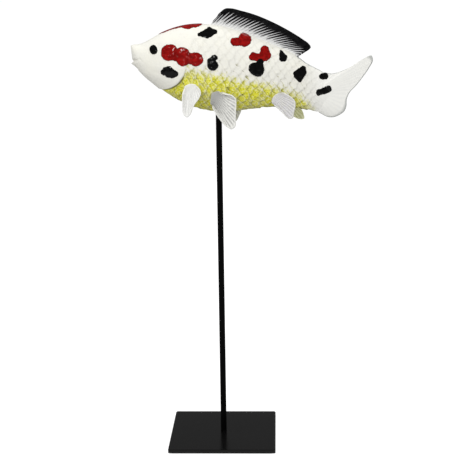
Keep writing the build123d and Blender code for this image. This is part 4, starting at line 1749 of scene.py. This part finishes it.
@dataclass
class PairedFin:
    """One kind of fin that hangs on both flanks, fanned out from a short root.

    out is how far the root stands from the middle of the koi, flare how much further out the edge stands,
    and scoop how far the two ends of the fan curl out past its middle. Places are shares of the packed
    fin's box.
    """

    node: str
    out: float
    flare: float
    scoop: float
    root_shares: Shares
    edge_shares: Shares
    ray_count: float
    paints: dict[Hand, PearlFin]
    right_edge_shares: Shares
    root_half: float = 2.4 * MM
    edge_half: float = 1.1 * MM
    ray_rise: float = 0.55 * MM
    root_fade: float = 0.12

    def build(self, hand: Hand, rays: RayTree, material: bpy.types.Material) -> bpy.types.Object:
        """Build one fin of the pair.

        Args:
            hand: Which fin.
            rays: The tree that raises the rays.
            material: The fin's paint.

        Returns:
            The finished piece.
        """
        node = f"{self.node}_{hand.value}"
        low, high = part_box(node)
        corner, size = np.array([low.x, high.z]), np.array([high.x - low.x, low.z - high.z])
        root = corner + np.array(self.root_shares) * size
        edge = corner + np.array(self.edge_shares if hand is Hand.LEFT else self.right_edge_shares) * size
        sign = -1 if hand is Hand.LEFT else 1

        def place(along: np.ndarray, across: np.ndarray) -> np.ndarray:
            """Place points of the middle of the fin.

            Args:
                along: Shares along the rays, from the root to the edge.
                across: Shares across the rays.

            Returns:
                One point for each pair of shares.
            """
            x, z = ruled(root, edge, along, across).T
            y = self.out + self.flare * along + self.scoop * along * (2 * across - 1) ** 2
            return np.stack([x, sign * y, z], axis=1)

        kind = self.node.split("_")[0]
        blade = FanBlade(
            f"{kind}_blade_{hand.value}", self.root_half, self.edge_half, self.ray_count, self.ray_rise,
            root_fade=self.root_fade,
        )
        piece = blade.shell(place).to_object(blade.name)
        blade.carve(piece, rays, material)
        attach(piece, "fish")
        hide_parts(node)
        return piece


PEARL = PearlFin("fin_pearl", crest=(0.90, 0.895, 0.86, 1), groove=(0.70, 0.70, 0.68, 1))
# painted shade towards the root of the pelvic fins
GREY_PEARL = PearlFin("fin_pearl_grey", groove=(0.37, 0.37, 0.355, 1), root_share=0.9)
SILVER = PearlFin(
    "fin_silver", crest=(0.72, 0.71, 0.72, 1), groove=(0.50, 0.49, 0.51, 1), wash_and_shade=(0.86, 0.85, 0.62, 1),
    wash_share=0.35,
)
OLIVE = PearlFin(
    "fin_olive", crest=(0.88, 0.89, 0.54, 1), groove=(0.60, 0.62, 0.30, 1), wash_and_shade=(0.90, 0.89, 0.68, 1),
    wash_share=0.6,
)
# painted shade along the tail's outer edge
TAIL_PEARL = PearlFin(
    "tail_pearl", crest=(0.88, 0.875, 0.83, 1), groove=(0.83, 0.83, 0.795, 1), rim_share=0.9
)

PAIRED_FINS = (
    PairedFin(
        "pectoral_fin", out=32.5 * MM, flare=6.0 * MM, scoop=3.0 * MM, ray_count=14,
        paints={Hand.LEFT: PEARL, Hand.RIGHT: PEARL},
        root_shares=((0.12, 0.10), (0.30, 0.02), (0.55, 0.00), (0.75, 0.05)),
        edge_shares=(
            (0.04, 0.30), (0.02, 0.52), (0.02, 0.76), (0.07, 0.93), (0.24, 1.00), (0.41, 0.93), (0.52, 0.77),
            (0.68, 0.60), (0.90, 0.43), (1.00, 0.27), (0.93, 0.15),
        ),
        right_edge_shares=(
            (0.04, 0.26), (0.02, 0.45), (0.03, 0.64), (0.09, 0.78), (0.25, 0.84), (0.41, 0.78), (0.52, 0.66),
            (0.68, 0.52), (0.90, 0.38), (1.00, 0.25), (0.93, 0.15),
        ),
    ),
    PairedFin(
        "pelvic_fin", out=31.0 * MM, flare=7.0 * MM, scoop=5.0 * MM, ray_count=19,
        paints={Hand.LEFT: GREY_PEARL, Hand.RIGHT: GREY_PEARL},
        root_shares=((0.03, 0.36), (-0.01, 0.18), (0.04, 0.04), (0.34, 0.03)),
        edge_shares=(
            (0.08, 0.42), (0.22, 0.59), (0.42, 0.79), (0.62, 0.94), (0.80, 1.00), (0.94, 0.93), (0.97, 0.74),
            (0.98, 0.52), (1.00, 0.32), (0.98, 0.19), (0.88, 0.12), (0.56, 0.06),
        ),
        right_edge_shares=(
            (0.08, 0.42), (0.22, 0.59), (0.38, 0.77), (0.52, 0.92), (0.63, 1.00), (0.71, 0.97), (0.82, 0.84),
            (0.90, 0.72), (0.97, 0.52), (1.00, 0.32), (0.98, 0.19), (0.88, 0.12), (0.56, 0.06),
        ),
    ),
    PairedFin(
        "anal_fin", out=20.5 * MM, flare=7.0 * MM, scoop=-3.0 * MM, ray_count=17,
        paints={Hand.LEFT: SILVER, Hand.RIGHT: OLIVE},
        root_shares=((0.05, 0.46), (0.00, 0.30), (0.10, 0.12), (0.34, 0.01)),
        edge_shares=(
            (0.10, 0.49), (0.26, 0.59), (0.46, 0.76), (0.64, 0.94), (0.73, 1.00), (0.85, 0.98), (0.92, 0.76),
            (0.98, 0.50), (0.96, 0.33), (0.83, 0.20), (0.66, 0.10), (0.45, 0.02),
        ),
        right_edge_shares=(
            (0.10, 0.49), (0.30, 0.66), (0.50, 0.90), (0.66, 1.08), (0.80, 1.17), (0.98, 1.21), (1.12, 1.19),
            (1.10, 1.00), (1.01, 0.80), (0.97, 0.55), (0.93, 0.36), (0.83, 0.20), (0.66, 0.10), (0.45, 0.02),
        ),
    ),
)


@dataclass
class Stand:
    """The plate, the rod and the fittings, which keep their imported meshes."""

    plate_coat: PowderCoat = PowderCoat(
        "plate_satin_black", low=(0.0025, 0.0025, 0.0025, 1), high=(0.0035, 0.0035, 0.0035, 1),
        roughness=(0.17, 0.22), sheen=0.35, relief=Relief(0.012 * MM, 0.6),
    )
    rod_coat: PowderCoat = PowderCoat(
        "rod_black", low=(0.0012, 0.0012, 0.0012, 1), high=(0.002, 0.002, 0.002, 1),
        roughness=(0.45, 0.55), sheen=0.05,
    )
    felt: PlainStock = PlainStock(
        "felt_black", low=(0.012, 0.012, 0.012, 1), high=(0.04, 0.04, 0.04, 1), roughness=(0.9, 1.0)
    )
    steel: PlainStock = PlainStock(
        "plain_steel", low=(0.50, 0.50, 0.51, 1), high=(0.62, 0.62, 0.62, 1), roughness=(0.28, 0.42),
        metallic=1.0,
    )
    nylon: PlainStock = PlainStock(
        "nylon_white", low=(0.72, 0.71, 0.67, 1), high=(0.78, 0.77, 0.73, 1), roughness=(0.42, 0.55)
    )

    def dress(self, groups: GroupShelf) -> None:
        """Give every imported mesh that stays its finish.

        Args:
            groups: The shared shader groups.
        """
        finishes = {
            "base_plate": self.plate_coat, "stand_rod": self.rod_coat, "base_felt": self.felt,
            "base_screw": self.steel, "socket_sleeve": self.steel, "swivel_cap": self.nylon,
        }
        made = {finish.name: finish.material(groups) for finish in dict.fromkeys(finishes.values())}
        for node, finish in finishes.items():
            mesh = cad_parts[node].data
            mesh.materials.clear()
            mesh.materials.append(made[finish.name])
            LOG.info("dressed %s in %s", node, finish.name)


@dataclass
class Lamp:
    """One soft area lamp aimed at the koi. Only a sparkling one shows in glossy surfaces."""

    name: str
    place: tuple[float, float, float]
    side: float
    power: float
    aim: tuple[float, float, float] = (0.0, 0.0, 0.50)
    sparkles: bool = False

    def light(self) -> None:
        """Hang the lamp, hidden from the camera."""
        data = bpy.data.lights.new(self.name, "AREA")
        data.shape, data.size, data.energy = "SQUARE", self.side, self.power
        lamp = bpy.data.objects.new(self.name, data)
        lamp.location = self.place
        lamp.rotation_euler = (Vector(self.aim) - Vector(self.place)).to_track_quat("-Z", "Y").to_euler()
        lamp.visible_camera = False
        lamp.visible_glossy = self.sparkles
        bpy.context.scene.collection.objects.link(lamp)


@dataclass
class Studio:
    """Camera, white floor, soft lamps and a white surround."""

    eye: tuple[float, float, float] = (80.6 * MM, -1673.2 * MM, 674.8 * MM)
    yaw: float = -2.3096
    pitch: float = 12.5157
    roll: float = -0.8275
    focal_px: float = 1227.45
    frame_px: float = 460.0
    clip: Pair = (0.05, 100.0)
    sensor: float = 36.0
    floor_side: float = 60.0
    ambient: float = 0.60
    mirrored: float = 0.14
    lamps: tuple[Lamp, ...] = (
        Lamp("key_lamp", (-1.0, -1.9, 1.9), side=1.4, power=23.5),
        Lamp("fill_lamp", (1.5, -1.5, 1.1), side=1.4, power=6.5),
        Lamp("top_lamp", (0.1, 0.3, 2.3), side=1.2, power=10.0),
        Lamp("back_lamp", (0.5, 2.0, 1.4), side=1.4, power=13.0),
        Lamp("spark_lamp", (-0.25, -1.6, 1.2), side=0.18, power=3.2, aim=(0.0, 0.0, 0.55), sparkles=True),
    )

    def camera(self) -> None:
        """Place the camera where the fitted viewpoint is."""
        yaw, pitch, roll = (math.radians(angle) for angle in (self.yaw, self.pitch, self.roll))
        look = Vector((math.sin(yaw) * math.cos(pitch), math.cos(yaw) * math.cos(pitch), -math.sin(pitch)))
        level = Vector((math.cos(yaw), -math.sin(yaw), 0))
        upright = level.cross(look)
        right = math.cos(roll) * level + math.sin(roll) * upright
        up = -math.sin(roll) * level + math.cos(roll) * upright
        data = bpy.data.cameras.new("photo_camera")
        data.sensor_width = self.sensor
        data.lens = self.sensor * self.focal_px / self.frame_px
        data.clip_start, data.clip_end = self.clip
        camera = bpy.data.objects.new("photo_camera", data)
        turn = Matrix((right, up, -look)).transposed().to_4x4()
        camera.matrix_world = Matrix.Translation(self.eye) @ turn
        bpy.context.scene.collection.objects.link(camera)
        bpy.context.scene.camera = camera

    def surround(self) -> None:
        """Make the world white to the eye and gently bright to the object."""
        world = bpy.data.worlds.new("white_surround")
        world.use_nodes = True
        wiring = Wiring(world.node_tree)
        path = wiring.add("ShaderNodeLightPath").outputs
        seen = wiring.math("MAXIMUM", path["Is Camera Ray"], path["Is Transmission Ray"])
        cast = wiring.blend(path["Is Glossy Ray"], self.ambient, self.mirrored)
        backdrop = world.node_tree.nodes["Background"]
        backdrop.inputs["Color"].default_value = WHITE
        wiring.feed(backdrop.inputs["Strength"], wiring.blend(seen, cast, 1.0))
        bpy.context.scene.world = world

    def floor(self) -> None:
        """Lay the white floor."""
        half = self.floor_side / 2
        mesh = bpy.data.meshes.new("studio_floor")
        corners = [(-half, -half, 0), (half, -half, 0), (half, half, 0), (-half, half, 0)]
        mesh.from_pydata(corners, [], [tuple(range(len(corners)))])
        mesh.materials.append(PaperSweep().material())
        floor = bpy.data.objects.new("studio_floor", mesh)
        bpy.context.scene.collection.objects.link(floor)

    def build(self) -> None:
        """Set up the studio."""
        bpy.context.scene.view_settings.view_transform = "Standard"
        self.camera()
        self.surround()
        self.floor()
        for lamp in self.lamps:
            lamp.light()


def main() -> None:
    """Build and dress every piece, then set up the studio."""
    logging.basicConfig(level=logging.INFO, format="%(name)s: %(message)s")
    groups, scales, rays = GroupShelf(), ScaleTree(), RayTree()
    paints = [KoiPaint(), InkedFin(), TAIL_PEARL]
    paints += [paint for fin in PAIRED_FINS for paint in fin.paints.values()]
    mixed = {paint.name: paint.material(groups) for paint in dict.fromkeys(paints)}
    body = KoiBody()
    pieces = [
        body.build(scales, mixed[KoiPaint.name]),
        DorsalFin().build(body, rays, mixed[InkedFin.name]),
        TailFin().build(body, rays, mixed[TAIL_PEARL.name]),
    ]
    for fin in PAIRED_FINS:
        pieces += [fin.build(hand, rays, mixed[fin.paints[hand].name]) for hand in Hand]
    for piece in pieces:
        LOG.info("built %s with %d faces", piece.name, len(piece.data.polygons))
    Stand().dress(groups)
    Studio().build()


if __name__ == "__main__":
    main()
